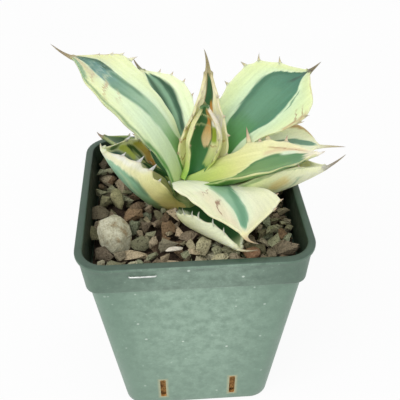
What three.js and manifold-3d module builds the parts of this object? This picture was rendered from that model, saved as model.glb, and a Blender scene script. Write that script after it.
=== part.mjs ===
// A variegated agave in a square nursery pot filled with mineral grit.
// Millimetres, +Z up. The origin is the centre of the pot's flat underside and the front faces -Y.
import * as THREE from "three";
import { mergeVertices } from "three/addons/utils/BufferGeometryUtils.js";
import Module from "manifold-3d";

const wasm = await Module();
wasm.setup();

const clearance = 0.3; // between pieces that touch

// Pot: a square tub that widens upwards to a deeper band under its lip.
const potHeight = 87.3;
const lipWidth = 82;
const lipDepth = 1.5;
const lipInset = 2.8; // width of the lip seen from above
const bandHeight = 13.4;
const bandTopWidth = 80;
const bandBottomWidth = 76.1;
const bodyTopWidth = 74.7;
const baseWidth = 59.1;
const potWall = 1.3;
const potFloor = 1.6;
const lipCornerRadius = 11; // the plan of the pot is a square whose corner radius changes with height
const bandTopCornerRadius = 9.5;
const bandBottomCornerRadius = 4.5;
const bodyTopCornerRadius = 6;
const baseCornerRadius = 7.5;
const cornerSteps = 5;
const slotSpacing = 28; // centre to centre of the two drain slots in a wall
const slotWidth = 2.2;
const slotBottom = 4.8;
const slotTop = 16.8;
const slotCollar = 1.1;
const slotCollarProud = 0.35;
const slotCurveSteps = 3;

// Wire staple through the band, left of the middle of the front wall.
const stapleCentreX = -18.2;
const stapleHeight = 82.7;
const stapleCrown = 9.5;
const stapleWire = 0.6;
const stapleLeg = 4;

// Grit: a filled bed whose top is a layer of half-sunk stones.
const gritLevel = 78.4;
const gritPitch = 8.2;
const gritStoneRadius = [3.2, 5];
const gritStoneSquash = [0.62, 0.9];
const gritStoneSink = [0.9, -0.9];
const gritHeadroom = 6;

// Loose stones that lie on the grit.
const looseStones = [
  { name: "stone_pale_large", at: [-28.3, -16.9], size: [12.2, 15.6, 11.6], turn: 8, tilt: 8, color: "#b3b29e" },
  { name: "stone_pale_tall", at: [-28.2, 4.2], size: [5.2, 5.4, 9], turn: 10, tilt: -14, color: "#8f9380" },
  { name: "stone_orange", at: [19.6, -29.5], size: [6.4, 5.2, 4.6], turn: 40, tilt: 5, color: "#8a5a48" },
  { name: "stone_splinter", at: [-7.3, -24.4], size: [6.6, 2, 2.2], turn: 14, tilt: 3, color: "#c9c3b4" },
];
const looseStoneSink = 0.22; // share of a stone's height that is bedded in the grit

// Stem: the short woody core that every leaf grows from.
const crown = new THREE.Vector3(-0.5, 9, 0);
const stemProfile = [[0, 60], [4, 60], [6.6, 69], [7.2, 75], [6, 80], [3.6, 83], [1.4, 84.2], [0, 84.5]];
const stemSides = 12;

// Leaves, from the innermost outwards. Angles are in degrees: turn is the heading of the base seen from
// above, sweep its change towards the tip, rise the slope at base and tip, cup the half angle of the
// trough, twist the roll about the midrib. Lengths are in mm: seat is the distance from the crown's axis
// along the heading of the base and aside the distance to the left of it.
// widest is where the blade is broadest, later by skew on its right margin and sooner on its left, neck the
// share of its width at the base and point the bluntness of the tip. Past the tip the spine rises by lift and
// turns aside by veer, both as shares of its length.
const leaves = [
  {
    name: "leaf_right_front", turn: -8, sweep: 3, rise: [26, 14], cup: [55, 15], twist: [2, -11],
    length: 49.2, width: 24.3, widest: 0.6, skew: 0, neck: 0.43, point: 0.75,
    seat: 1.6, aside: -4, height: 85.9, spine: 6.5, lift: 0.15, veer: 0.06,
  },
  {
    name: "leaf_front_right", turn: -45, sweep: -47, rise: [26, 1], cup: [-9, 29], twist: [-24, 10],
    length: 54.1, width: 29.7, widest: 0.56, skew: -0.19, neck: 0.15, point: 0.59,
    seat: -2.2, aside: 0, height: 84, spine: 7.8, lift: 0.21, veer: 0.58,
  },
  {
    name: "leaf_bud", turn: 40, sweep: 12, rise: [55, 96], cup: [99, 112], twist: [50, 34],
    length: 29, width: 19.5, widest: 0.56, skew: 0, neck: 0.42, point: 0.75,
    seat: 2.4, aside: 0, height: 86.8, spine: 3.4, lift: 0, veer: 0,
  },
  {
    name: "leaf_spear", turn: 51, sweep: 17, rise: [59, 87], cup: [42, 122], twist: [36, 30],
    length: 45.5, width: 25.8, widest: 0.45, skew: 0, neck: 0.42, point: 0.71,
    seat: 2.7, aside: 0, height: 81.6, spine: 9.1, lift: 0, veer: 0.18,
  },
  {
    name: "leaf_back_left", turn: 105, sweep: 19, rise: [68, 14], cup: [56, 19], twist: [-9, 12],
    length: 47.5, width: 22.1, widest: 0.62, skew: 0.04, neck: 0.37, point: 0.74,
    seat: 3.6, aside: 0, height: 86.6, spine: 7.7, lift: 0.21, veer: 0,
  },
  {
    name: "leaf_upper_left", turn: 162, sweep: -11, rise: [82, 11], cup: [-1, 7], twist: [-11, 5],
    length: 65.4, width: 28.7, widest: 0.68, skew: 0.07, neck: 0.49, point: 0.81,
    seat: 2.5, aside: 0, height: 86.4, spine: 9.6, lift: 0.2, veer: 0,
  },
  {
    name: "leaf_back_right", turn: 29, sweep: 0, rise: [49, 19], cup: [39, 26], twist: [16, 17],
    length: 61.5, width: 35.5, widest: 0.67, skew: 0, neck: 0.39, point: 0.78,
    seat: 7.9, aside: 1.4, height: 81.9, spine: 6.7, lift: 0.1, veer: 0.03,
  },
  {
    name: "leaf_right_back", turn: 22, sweep: -18, rise: [21, -2], cup: [23, 26], twist: [-6, -2],
    length: 51.5, width: 24.5, widest: 0.75, skew: -0.17, neck: 0.4, point: 0.7,
    seat: 4.5, aside: 0, height: 82.7, spine: 10.9, lift: 0.08, veer: -0.2,
  },
  {
    name: "leaf_left", turn: 187, sweep: -1, rise: [34, 67], cup: [88, 85], twist: [4, 0],
    length: 39, width: 33.1, widest: 0.53, skew: 0.09, neck: 0.48, point: 0.89,
    seat: 6.2, aside: 0, height: 74.7, spine: 4, lift: 0.26, veer: 0,
  },
  {
    name: "leaf_left_back", turn: 151, sweep: 6, rise: [24, 16], cup: [39, 31], twist: [1, 19],
    length: 38, width: 15, widest: 0.56, skew: 0, neck: 0.42, point: 0.73,
    seat: 3.4, aside: -4.4, height: 81.9, spine: 3.1, lift: 0.26, veer: -0.17,
  },
  {
    name: "leaf_right_low", turn: -21, sweep: 10, rise: [10, 37], cup: [71, 75], twist: [-8, -25],
    length: 50.2, width: 26.3, widest: 0.58, skew: 0, neck: 0.42, point: 0.68,
    seat: 5.3, aside: 0, height: 80.1, spine: 8.9, lift: 0.05, veer: 0,
  },
  {
    name: "leaf_front_low", turn: -77, sweep: 15, rise: [11, 16], cup: [45, 86], twist: [19, -29],
    length: 42.6, width: 24.5, widest: 0.52, skew: -0.06, neck: 0.43, point: 0.77,
    seat: 2.7, aside: 0, height: 77, spine: 7.4, lift: 0.36, veer: 0.32,
  },
  {
    name: "leaf_rear", turn: 72, sweep: 6, rise: [38, 14], cup: [45, 22], twist: [0, 0],
    length: 38, width: 24, widest: 0.6, skew: 0, neck: 0.42, point: 0.72,
    seat: 4.6, aside: 0, height: 82, spine: 6, lift: 0.2, veer: 0,
  },
  {
    name: "leaf_rear_left", turn: 119, sweep: -6, rise: [36, 12], cup: [48, 24], twist: [0, 4],
    length: 33, width: 21, widest: 0.6, skew: 0, neck: 0.42, point: 0.72,
    seat: 4.8, aside: 0, height: 80.6, spine: 5.5, lift: 0.2, veer: 0,
  },
  {
    name: "leaf_rear_right", turn: 46, sweep: 4, rise: [32, 12], cup: [50, 26], twist: [0, -4],
    length: 38, width: 23, widest: 0.6, skew: 0, neck: 0.42, point: 0.72,
    seat: 5, aside: 0, height: 80.2, spine: 5.5, lift: 0.2, veer: 0,
  },
];
const rootDepth = 3; // how far a blade runs back from its seat into the crown
const rootThickness = 4;
const tipThickness = 1.6;
const marginThickness = 0.8;
const spineRadius = 0.95;
const spineTipRadius = 0.16;
const leafTolerance = 0.12; // how far a blade's flat triangles may lie off the finer ones they replace
const gritTolerance = 0.4; // likewise for the bed of stones, before the leaves are cut from it
const fineTolerance = 0.05;
const midribSteps = 40;
const bladeStations = [0.06, 0.2, 0.34, 0.48, 0.61, 0.73, 0.84, 0.93, 0.98];
const spineStations = [0.05, 0.45];
const acrossSteps = 6;
const toothSpacing = 7.6;
const toothSpan = [0.26, 0.9]; // share of the blade's length that bears teeth
const toothRadius = 0.95;
const toothLength = 2.5;
const toothSink = 0.7;
const toothLean = 0.45;

const upright = new THREE.Vector3(0, 0, 1);
const radians = THREE.MathUtils.degToRad;
const lerp = THREE.MathUtils.lerp;

// A repeatable draw from 0 to 1 for each whole number.
function draw(index) {
  const value = Math.sin(index * 12.9898 + 4.137) * 43758.5453;
  return value - Math.floor(value);
}

function drawBetween(range, index) {
  return lerp(range[0], range[1], draw(index));
}

// A three.js geometry as a solid: shared vertices merged and collapsed triangles dropped.
function solidOf(geometry) {
  const bare = geometry.index ? geometry.toNonIndexed() : geometry.clone();
  bare.deleteAttribute("normal");
  bare.deleteAttribute("uv");
  const merged = mergeVertices(bare, 1e-3);
  const corners = merged.index.array;
  const kept = [];
  for (let i = 0; i < corners.length; i += 3) {
    const [a, b, c] = corners.slice(i, i + 3);
    if (a !== b && b !== c && c !== a) {
      kept.push(a, b, c);
    }
  }
  return new wasm.Manifold(new wasm.Mesh({
    numProp: 3,
    vertProperties: merged.attributes.position.array,
    triVerts: new Uint32Array(kept),
  }));
}

function geometryOf(solid) {
  const mesh = solid.getMesh();
  const geometry = new THREE.BufferGeometry();
  geometry.setAttribute("position", new THREE.BufferAttribute(mesh.vertProperties, 3));
  geometry.setIndex(new THREE.BufferAttribute(mesh.triVerts, 1));
  geometry.computeVertexNormals();
  return geometry;
}

function largestPiece(solid) {
  const pieces = solid.decompose();
  pieces.sort((a, b) => b.volume() - a.volume());
  return pieces[0];
}

// Turns a lathe's circle into a rounded square: its columns share out the corner arcs. Each row of the
// profile is half the width, the height and the corner radius.
function roundedSquare(profile) {
  const perCorner = cornerSteps + 1;
  const segments = 4 * perCorner;
  const outline = profile.map(([half, z]) => new THREE.Vector2(half, z));
  const geometry = new THREE.LatheGeometry(outline, segments);
  const position = geometry.attributes.position;
  const rows = profile.length;
  for (let i = 0; i < position.count; i++) {
    const column = Math.floor(i / rows) % segments;
    const [half, z, cornerRadius] = profile[i % rows];
    const radius = Math.min(cornerRadius, half);
    const corner = Math.floor(column / perCorner) * Math.PI / 2;
    const angle = corner + ((column % perCorner) / cornerSteps) * Math.PI / 2;
    const centre = (half - radius) * Math.SQRT2;
    const x = centre * Math.cos(corner + Math.PI / 4) + radius * Math.cos(angle);
    const y = centre * Math.sin(corner + Math.PI / 4) + radius * Math.sin(angle);
    position.setXYZ(i, x, y, z);
  }
  return geometry;
}

// The lathe remap runs anticlockwise, so its faces are turned round to point outwards.
function facingOut(geometry) {
  const flipped = geometry.index.clone();
  for (let i = 0; i < flipped.count; i += 3) {
    const second = flipped.getX(i + 1);
    flipped.setX(i + 1, flipped.getX(i + 2));
    flipped.setX(i + 2, second);
  }
  geometry.setIndex(flipped);
  return geometry;
}

function squareSolid(profile) {
  const geometry = roundedSquare(profile);
  const solid = solidOf(geometry);
  return solid.volume() > 0 ? solid : solidOf(facingOut(geometry));
}

const bandBottom = potHeight - bandHeight;

const lipBottom = potHeight - lipDepth;
const mouthWidth = lipWidth - 2 * lipInset;

// Half the width of the body or the band at a height, outside the wall.
function bodyHalfAt(z) {
  return lerp(baseWidth, bodyTopWidth, z / bandBottom) / 2;
}

function bandHalfAt(z) {
  return lerp(bandBottomWidth, bandTopWidth, (z - bandBottom) / (lipBottom - bandBottom)) / 2;
}

// Rows of the pot's inner face at the heights where it changes, held back from it by gap.
function innerRow(z, gap) {
  const inBand = z >= bandBottom;
  const share = inBand ? (z - bandBottom) / (potHeight - bandBottom) : z / bandBottom;
  const half = inBand ? lerp(bandBottomWidth / 2 - potWall, mouthWidth / 2, share) : bodyHalfAt(z) - potWall;
  const corner = inBand
    ? lerp(bandBottomCornerRadius, lipCornerRadius - lipInset, share)
    : lerp(baseCornerRadius, bodyTopCornerRadius, share) - potWall;
  return [half - gap, z, corner];
}

function stadium(width, bottom, top, depth) {
  const radius = width / 2;
  const shape = new THREE.Shape();
  shape.absarc(0, bottom + radius, radius, Math.PI, 2 * Math.PI);
  shape.absarc(0, top - radius, radius, 0, Math.PI);
  const geometry = new THREE.ExtrudeGeometry(shape, { depth, bevelEnabled: false, curveSegments: slotCurveSteps });
  return geometry.rotateX(Math.PI / 2);
}

function buildPot() {
  const shoulder = 0.6;
  const lipEdge = 0.3;
  const lipHalf = lipWidth / 2;
  const mouthHalf = mouthWidth / 2;
  const mouthCorner = lipCornerRadius - lipInset;
  const profile = [
    [0, 0, 0],
    [baseWidth / 2 - 0.6, 0, baseCornerRadius],
    [bodyHalfAt(0.8), 0.8, baseCornerRadius],
    [bodyHalfAt(bandBottom - shoulder), bandBottom - shoulder, bodyTopCornerRadius],
    [bandBottomWidth / 2, bandBottom, bandBottomCornerRadius],
    [bandHalfAt(lipBottom - shoulder), lipBottom - shoulder, bandTopCornerRadius],
    [lipHalf, lipBottom, lipCornerRadius],
    [lipHalf, potHeight - lipEdge, lipCornerRadius],
    [lipHalf - lipEdge, potHeight, lipCornerRadius],
    [mouthHalf + lipEdge, potHeight, mouthCorner],
    innerRow(potHeight - lipEdge, 0),
    innerRow(bandBottom, 0),
    innerRow(bandBottom - 2 * shoulder, 0),
    innerRow(potFloor, 0),
    [0, potFloor, 0],
  ];
  let pot = squareSolid(profile);
  const collars = [];
  const cuts = [];
  for (let side = 0; side < 4; side++) {
    for (const offset of [-slotSpacing / 2, slotSpacing / 2]) {
      const slotAngle = side * Math.PI / 2;
      const wallLean = Math.atan((bodyTopWidth - baseWidth) / 2 / bandBottom);
      const collar = stadium(slotWidth + 2 * slotCollar, slotBottom - slotCollar, slotTop + slotCollar, 1);
      collar.rotateX(wallLean).translate(offset, -baseWidth / 2 + 1 - slotCollarProud, 0);
      collars.push(solidOf(collar.rotateZ(slotAngle)));
      const cut = stadium(slotWidth, slotBottom, slotTop, 8).translate(offset, -baseWidth / 2 + 4, 0);
      cuts.push(solidOf(cut.rotateZ(slotAngle)));
    }
  }
  const legCuts = [-1, 1].map((side) => {
    const hole = new THREE.BoxGeometry(stapleWire + 2 * clearance, 8, stapleWire + 2 * clearance);
    hole.translate(stapleCentreX + side * (stapleCrown - stapleWire) / 2, -bandTopWidth / 2 + 1, stapleHeight);
    return solidOf(hole);
  });
  for (const collar of collars) {
    pot = pot.add(collar);
  }
  for (const cut of [...cuts, ...legCuts]) {
    pot = pot.subtract(cut);
  }
  return pot;
}

// The space inside the pot up to a given height, held back from the walls by the clearance.
function potInterior(top) {
  return squareSolid([
    [0, potFloor + clearance, 0],
    innerRow(potFloor + clearance, clearance),
    innerRow(bandBottom - 1.2, clearance),
    innerRow(bandBottom, clearance),
    innerRow(top, clearance),
    [0, top, 0],
  ]);
}

function stoneGeometry([sizeX, sizeY, sizeZ], seed, detail) {
  const geometry = new THREE.IcosahedronGeometry(0.5, detail);
  const position = geometry.attributes.position;
  for (let i = 0; i < position.count; i++) {
    const key = Math.round(
      31 * position.getX(i) * 8 + 57 * position.getY(i) * 8 + 91 * position.getZ(i) * 8);
    const swell = 0.88 + 0.24 * draw(seed * 131 + key);
    position.setXYZ(i, position.getX(i) * swell, position.getY(i) * swell, position.getZ(i) * swell);
  }
  return geometry.scale(sizeX, sizeY, sizeZ);
}

function looseStone(stone, index, grow) {
  const size = stone.size.map((length) => length + 2 * grow);
  const geometry = stoneGeometry(size, 900 + index, 1);
  geometry.rotateY(radians(stone.tilt)).rotateZ(radians(stone.turn));
  const height = gritLevel + stone.size[2] * (0.5 - looseStoneSink) + 1;
  return solidOf(geometry.translate(stone.at[0], stone.at[1], height));
}

function gritStones() {
  const stones = [];
  const reach = Math.floor(innerRow(gritLevel, 0)[0] / gritPitch);
  for (let row = -reach; row <= reach; row++) {
    for (let column = -reach; column <= reach; column++) {
      const seed = 40 * (row + 20) + column + 20;
      const radius = drawBetween(gritStoneRadius, seed);
      const squash = drawBetween(gritStoneSquash, seed + 2000);
      const stone = stoneGeometry([2.1 * radius, 2 * radius, 2 * radius * squash], seed, 0);
      stone.rotateX(0.5 * draw(seed + 3000)).rotateZ(Math.PI * draw(seed + 4000));
      const x = (column + 0.5 * (draw(seed + 5000) - 0.5)) * gritPitch;
      const y = (row + 0.5 * (draw(seed + 6000) - 0.5)) * gritPitch;
      stones.push(solidOf(stone.translate(x, y, gritLevel - drawBetween(gritStoneSink, seed + 7000))));
    }
  }
  return stones;
}

function smoothRise(edge, x) {
  const t = THREE.MathUtils.clamp(x / edge, 0, 1);
  return t * t * (3 - 2 * t);
}

function halfWidthAt(leaf, s, u) {
  const widest = leaf.widest - leaf.skew * Math.sign(u);
  const swell = leaf.neck + (1 - leaf.neck) * smoothRise(widest, s);
  const past = Math.max(0, (s - widest) / (1 - widest));
  const narrowing = Math.max(0, 1 - past * past) ** leaf.point;
  return Math.max((leaf.width / 2) * swell * narrowing, spineRadius);
}

function sectionAxes(leaf, s) {
  const heading = radians(leaf.turn + leaf.sweep * s);
  const slope = radians(lerp(leaf.rise[0], leaf.rise[1], s));
  const roll = radians(lerp(leaf.twist[0], leaf.twist[1], s));
  const along = new THREE.Vector3(
    Math.cos(slope) * Math.cos(heading), Math.cos(slope) * Math.sin(heading), Math.sin(slope));
  const level = new THREE.Vector3(-Math.sin(heading), Math.cos(heading), 0);
  const up = along.clone().cross(level);
  const across = level.clone().multiplyScalar(Math.cos(roll)).addScaledVector(up, Math.sin(roll));
  const inward = up.clone().multiplyScalar(Math.cos(roll)).addScaledVector(level, -Math.sin(roll));
  return { along, across, inward };
}

// The midrib starts at the leaf's seat beside the crown's axis and follows its slope and heading.
class Midrib extends THREE.Curve {
  constructor(leaf) {
    super();
    const heading = radians(leaf.turn);
    const seat = new THREE.Vector3(leaf.seat, leaf.aside, 0).applyAxisAngle(upright, heading);
    this.points = [seat.add(crown).setZ(leaf.height)];
    for (let i = 0; i < midribSteps; i++) {
      const { along } = sectionAxes(leaf, (i + 0.5) / midribSteps);
      this.points.push(this.points[i].clone().addScaledVector(along, leaf.length / midribSteps));
    }
  }
  getPoint(s) {
    const step = THREE.MathUtils.clamp(Math.floor(s * midribSteps), 0, midribSteps - 1);
    return this.points[step].clone().lerp(this.points[step + 1], s * midribSteps - step);
  }
}

// A point of the blade: u runs from -1 to 1 across it, and face is 1 on the upper face, -1 below.
function bladePoint(leaf, midrib, s, u, face, grow) {
  const { across, inward } = sectionAxes(leaf, s);
  const half = halfWidthAt(leaf, s, u) + grow;
  const cup = radians(lerp(leaf.cup[0], leaf.cup[1], s)) || 1e-4;
  const bend = cup * u;
  const core = lerp(rootThickness, tipThickness, s);
  const thickness = marginThickness + (core - marginThickness) * (1 - u * u);
  const offset = face > 0 ? grow : -(thickness + grow);
  return midrib.getPoint(s)
    .addScaledVector(across, (half * Math.sin(bend)) / cup - offset * Math.sin(bend))
    .addScaledVector(inward, (half * (1 - Math.cos(bend))) / cup + offset * Math.cos(bend));
}

function spinePoint(leaf, midrib, share, angle, grow) {
  const { along, across, inward } = sectionAxes(leaf, 1);
  const reach = share * leaf.spine;
  const curl = share * share * leaf.spine;
  const radius = lerp(spineRadius, spineTipRadius, share) + grow;
  return midrib.getPoint(1)
    .addScaledVector(along, reach + grow)
    .addScaledVector(inward, leaf.lift * curl - tipThickness / 2 + radius * Math.sin(angle))
    .addScaledVector(across, leaf.veer * curl + radius * Math.cos(angle));
}

// Rings of points skinned into one closed body, both faces of the blade split alike.
function skinRings(rings) {
  const ringSize = rings[0].length;
  const points = rings.flat();
  const triangles = [];
  for (let row = 0; row < rings.length - 1; row++) {
    for (let k = 0; k < ringSize; k++) {
      const a = row * ringSize + k;
      const b = row * ringSize + ((k + 1) % ringSize);
      const c = a + ringSize;
      const d = b + ringSize;
      if (k < ringSize / 2) {
        triangles.push(a, b, d, a, d, c);
      } else {
        triangles.push(a, b, c, b, d, c);
      }
    }
  }
  const geometry = new THREE.BufferGeometry().setFromPoints(points);
  geometry.setIndex(triangles);
  return geometry;
}

function collapsed(ring) {
  const centre = ring.reduce((sum, point) => sum.add(point), new THREE.Vector3());
  centre.divideScalar(ring.length);
  return ring.map(() => centre);
}

function bladeSolid(leaf, midrib, grow) {
  const uSteps = Array.from({ length: acrossSteps + 1 }, (_, k) => 1 - (2 * k) / acrossSteps);
  const stations = [-rootDepth / leaf.length, ...bladeStations];
  const rings = stations.map((s) => [
    ...uSteps.map((u) => bladePoint(leaf, midrib, s, u, 1, grow)),
    ...uSteps.map((u) => bladePoint(leaf, midrib, s, -u, -1, grow)),
  ]);
  const ringSize = 2 * uSteps.length;
  const angles = Array.from({ length: ringSize }, (_, k) => (2 * Math.PI * k) / ringSize);
  for (const share of spineStations) {
    rings.push(angles.map((angle) => spinePoint(leaf, midrib, share, angle, grow)));
  }
  const end = angles.map((angle) => spinePoint(leaf, midrib, 1, angle, grow));
  const geometry = skinRings([collapsed(rings[0]), ...rings, collapsed(end)]);
  const solid = solidOf(geometry);
  return solid.volume() > 0 ? solid : solidOf(facingOut(geometry));
}

// Three-sided prickles along both margins, each leaning towards the tip or the base.
function teethOf(leaf, midrib, index, grow) {
  const teeth = [];
  const count = Math.round(((toothSpan[1] - toothSpan[0]) * leaf.length) / toothSpacing);
  for (const side of [1, -1]) {
    for (let k = 0; k < count; k++) {
      const seed = index * 100 + k * 2 + (side + 1) / 2;
      const s = lerp(toothSpan[0], toothSpan[1], (k + 0.25 + 0.5 * draw(seed)) / count);
      const root = bladePoint(leaf, midrib, s, side, 1, -marginThickness / 2);
      const inner = bladePoint(leaf, midrib, s, side * 0.9, 1, -marginThickness / 2);
      const outward = root.clone().sub(inner).normalize();
      const lean = toothLean * (draw(seed + 500) < 0.65 ? 1 : -0.6);
      const axis = outward.clone().addScaledVector(sectionAxes(leaf, s).along, lean).normalize();
      const length = toothLength * (0.75 + 0.5 * draw(seed + 700));
      const cone = new THREE.ConeGeometry(toothRadius + grow, length + toothSink + 2 * grow, 3);
      cone.translate(0, (length - toothSink) / 2, 0);
      cone.applyQuaternion(new THREE.Quaternion().setFromUnitVectors(new THREE.Vector3(0, 1, 0), axis));
      teeth.push(solidOf(cone.translate(root.x, root.y, root.z)));
    }
  }
  return teeth;
}

function leafSolid(leaf, index, grow) {
  const midrib = new Midrib(leaf);
  return wasm.Manifold.union([bladeSolid(leaf, midrib, grow), ...teethOf(leaf, midrib, index, grow)]);
}

function stemSolid(grow) {
  const profile = stemProfile.map(([radius, z], row) => {
    const lift = row === 0 ? -grow : row === stemProfile.length - 1 ? grow : 0;
    return new THREE.Vector2(radius > 0 ? radius + grow : 0, z + lift);
  });
  const geometry = new THREE.LatheGeometry(profile, stemSides).rotateX(Math.PI / 2);
  geometry.translate(crown.x, crown.y, 0);
  const solid = solidOf(geometry);
  return solid.volume() > 0 ? solid : solidOf(facingOut(geometry));
}

function stapleSolid() {
  const face = -bandHalfAt(stapleHeight) - clearance - stapleWire / 2;
  const half = (stapleCrown - stapleWire) / 2;
  const crownWire = new THREE.BoxGeometry(stapleCrown, stapleWire, stapleWire);
  crownWire.translate(stapleCentreX, face, stapleHeight);
  const legs = [-1, 1].map((side) => {
    const leg = new THREE.BoxGeometry(stapleWire, stapleLeg, stapleWire);
    return leg.translate(stapleCentreX + side * half, face + (stapleLeg - stapleWire) / 2, stapleHeight);
  });
  return wasm.Manifold.union([crownWire, ...legs].map(solidOf));
}

const agave = new THREE.Group();

function addPiece(name, solid, color, roughness, metalness = 0) {
  const material = new THREE.MeshStandardMaterial({ color, roughness, metalness });
  const mesh = new THREE.Mesh(geometryOf(solid), material);
  mesh.name = name;
  agave.add(mesh);
}

// Each leaf makes way for the stem and for the leaves further in.
const inner = [stemSolid(clearance)];
const leafSolids = leaves.map((leaf, index) => {
  const cut = wasm.Manifold.union(inner);
  inner.push(leafSolid(leaf, index, clearance));
  return largestPiece(leafSolid(leaf, index, 0).subtract(cut).simplify(leafTolerance));
});

const planted = wasm.Manifold.union(inner);
const beddedStones = wasm.Manifold.union(looseStones.map((stone, i) => looseStone(stone, i, clearance)));
const bed = wasm.Manifold.union([potInterior(gritLevel), ...gritStones()]);
const filling = bed.intersect(potInterior(gritLevel + gritHeadroom)).simplify(gritTolerance);
const grit = largestPiece(filling.subtract(planted).subtract(beddedStones).simplify(fineTolerance));

addPiece("pot", buildPot(), "#80a08c", 0.42);
addPiece("rim_staple", stapleSolid(), "#c8ccca", 0.3, 1);
addPiece("grit", grit, "#6e5d50", 0.95);
looseStones.forEach((stone, i) => addPiece(stone.name, looseStone(stone, i, 0), stone.color, 0.9));
addPiece("stem", stemSolid(0), "#c9cba0", 0.7);
leaves.forEach((leaf, i) => addPiece(leaf.name, leafSolids[i], i % 2 ? "#a9c3a0" : "#c8d6ac", 0.55));

export default agave;
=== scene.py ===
import math
import random

import bmesh
import bpy
from mathutils import Euler, Matrix, Vector
from mathutils.bvhtree import BVHTree


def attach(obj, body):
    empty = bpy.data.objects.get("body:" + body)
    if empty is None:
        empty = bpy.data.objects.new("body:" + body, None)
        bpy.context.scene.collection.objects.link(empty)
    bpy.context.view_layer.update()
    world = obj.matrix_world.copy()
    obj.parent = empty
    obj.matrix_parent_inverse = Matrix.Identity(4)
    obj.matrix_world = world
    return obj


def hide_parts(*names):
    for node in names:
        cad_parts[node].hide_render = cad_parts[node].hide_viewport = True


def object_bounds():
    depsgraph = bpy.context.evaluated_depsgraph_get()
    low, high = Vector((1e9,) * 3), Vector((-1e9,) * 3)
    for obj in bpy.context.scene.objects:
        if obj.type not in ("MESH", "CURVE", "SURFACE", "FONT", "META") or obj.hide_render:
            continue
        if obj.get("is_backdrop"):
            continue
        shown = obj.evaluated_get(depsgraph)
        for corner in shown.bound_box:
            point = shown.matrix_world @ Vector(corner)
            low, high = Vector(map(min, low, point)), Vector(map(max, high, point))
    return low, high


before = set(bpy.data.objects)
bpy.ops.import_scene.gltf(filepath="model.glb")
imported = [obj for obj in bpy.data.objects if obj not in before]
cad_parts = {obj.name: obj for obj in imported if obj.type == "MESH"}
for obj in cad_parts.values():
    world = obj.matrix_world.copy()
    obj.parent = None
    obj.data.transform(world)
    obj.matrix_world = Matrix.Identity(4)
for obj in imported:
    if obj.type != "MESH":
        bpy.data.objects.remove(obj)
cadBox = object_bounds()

# A potted variegated agave. Lengths are in millimetres until addPiece turns a mesh into metres.
scene = bpy.context.scene
scene.view_settings.view_transform = "Standard"


def mix(a, b, share):
    return a + (b - a) * share


def smoothRise(edge, x):
    t = min(1, max(0, x / edge))
    return t * t * (3 - 2 * t)


# The piece stands for one node; edges sharper than sharpAngle stay hard, and 0 keeps every face flat.
def addPiece(name, bm, material, node, slot, sharpAngle=None):
    bmesh.ops.scale(bm, vec=(0.001, 0.001, 0.001), verts=bm.verts)
    for face in bm.faces:
        face.smooth = sharpAngle != 0
    if sharpAngle:
        for edge in bm.edges:
            edge.smooth = edge.calc_face_angle(math.pi) < math.radians(sharpAngle)
    mesh = bpy.data.meshes.new(name)
    bm.to_mesh(mesh)
    bm.free()
    piece = bpy.data.objects.new(name, mesh)
    scene.collection.objects.link(piece)
    mesh.materials.append(material)
    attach(piece, "root")
    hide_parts(node)


# A grid rolled into a tube: rows of points run along it, and each row closes round it.
def tubeFromRows(bm, rows):
    around = len(rows[0])
    along = len(rows) - 1
    made = bmesh.ops.create_grid(bm, x_segments=around, y_segments=along, size=0.5)["verts"]
    for vert in made:
        column = round((vert.co.x + 0.5) * around) % around
        row = round((vert.co.y + 0.5) * along)
        vert.co = rows[row][column]
        yield vert, row, column


def wireTube(bm, path, radius, sides=10):
    rows = []
    normal = Vector((0, 0, 1))
    for i, point in enumerate(path):
        ahead = (path[min(i + 1, len(path) - 1)] - path[max(i - 1, 0)]).normalized()
        side = ahead.cross(normal).normalized()
        reach = 0 if i in (0, len(path) - 1) else radius
        rows.append([point + (side * math.cos(a) + normal * math.sin(a)) * reach
                     for a in (2 * math.pi * k / sides for k in range(sides))])
    for _ in tubeFromRows(bm, rows):
        pass
    bmesh.ops.remove_doubles(bm, verts=bm.verts, dist=1e-4)
    bmesh.ops.recalc_face_normals(bm, faces=bm.faces)


def paint(red, green, blue):
    return tuple(((c / 255 + 0.055) / 1.055) ** 2.4 if c > 10 else c / 3294.6
                 for c in (red, green, blue)) + (1,)


def startMaterial(name, roughness=0.5):
    material = bpy.data.materials.new(name)
    material.use_nodes = True
    tree = material.node_tree
    tree.nodes.clear()
    surface = tree.nodes.new("ShaderNodeOutputMaterial")
    shader = tree.nodes.new("ShaderNodeBsdfPrincipled")
    shader.inputs["Roughness"].default_value = roughness
    tree.links.new(shader.outputs[0], surface.inputs["Surface"])
    return material, tree, shader


def feed(tree, socket, value):
    if isinstance(value, bpy.types.NodeSocket):
        tree.links.new(value, socket)
    else:
        socket.default_value = value


def calc(tree, operation, *values):
    node = tree.nodes.new("ShaderNodeMath")
    node.operation = operation
    for socket, value in zip(node.inputs, values):
        feed(tree, socket, value)
    return node.outputs[0]


def times(tree, first, *others):
    for value in others:
        first = calc(tree, "MULTIPLY", first, value)
    return first


def blend(tree, share, first, second, kind="MIX"):
    node = tree.nodes.new("ShaderNodeMix")
    node.data_type = "RGBA"
    node.blend_type = kind
    for index, value in ((0, share), (6, first), (7, second)):  # a colour mix has its inputs here
        feed(tree, node.inputs[index], value)
    return node.outputs[2]


def ease(tree, value, start, end, low=0.0, high=1.0):
    node = tree.nodes.new("ShaderNodeMapRange")
    node.interpolation_type = "SMOOTHSTEP"
    for index, item in enumerate((value, start, end, low, high)):
        feed(tree, node.inputs[index], item)
    return node.outputs[0]


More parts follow.
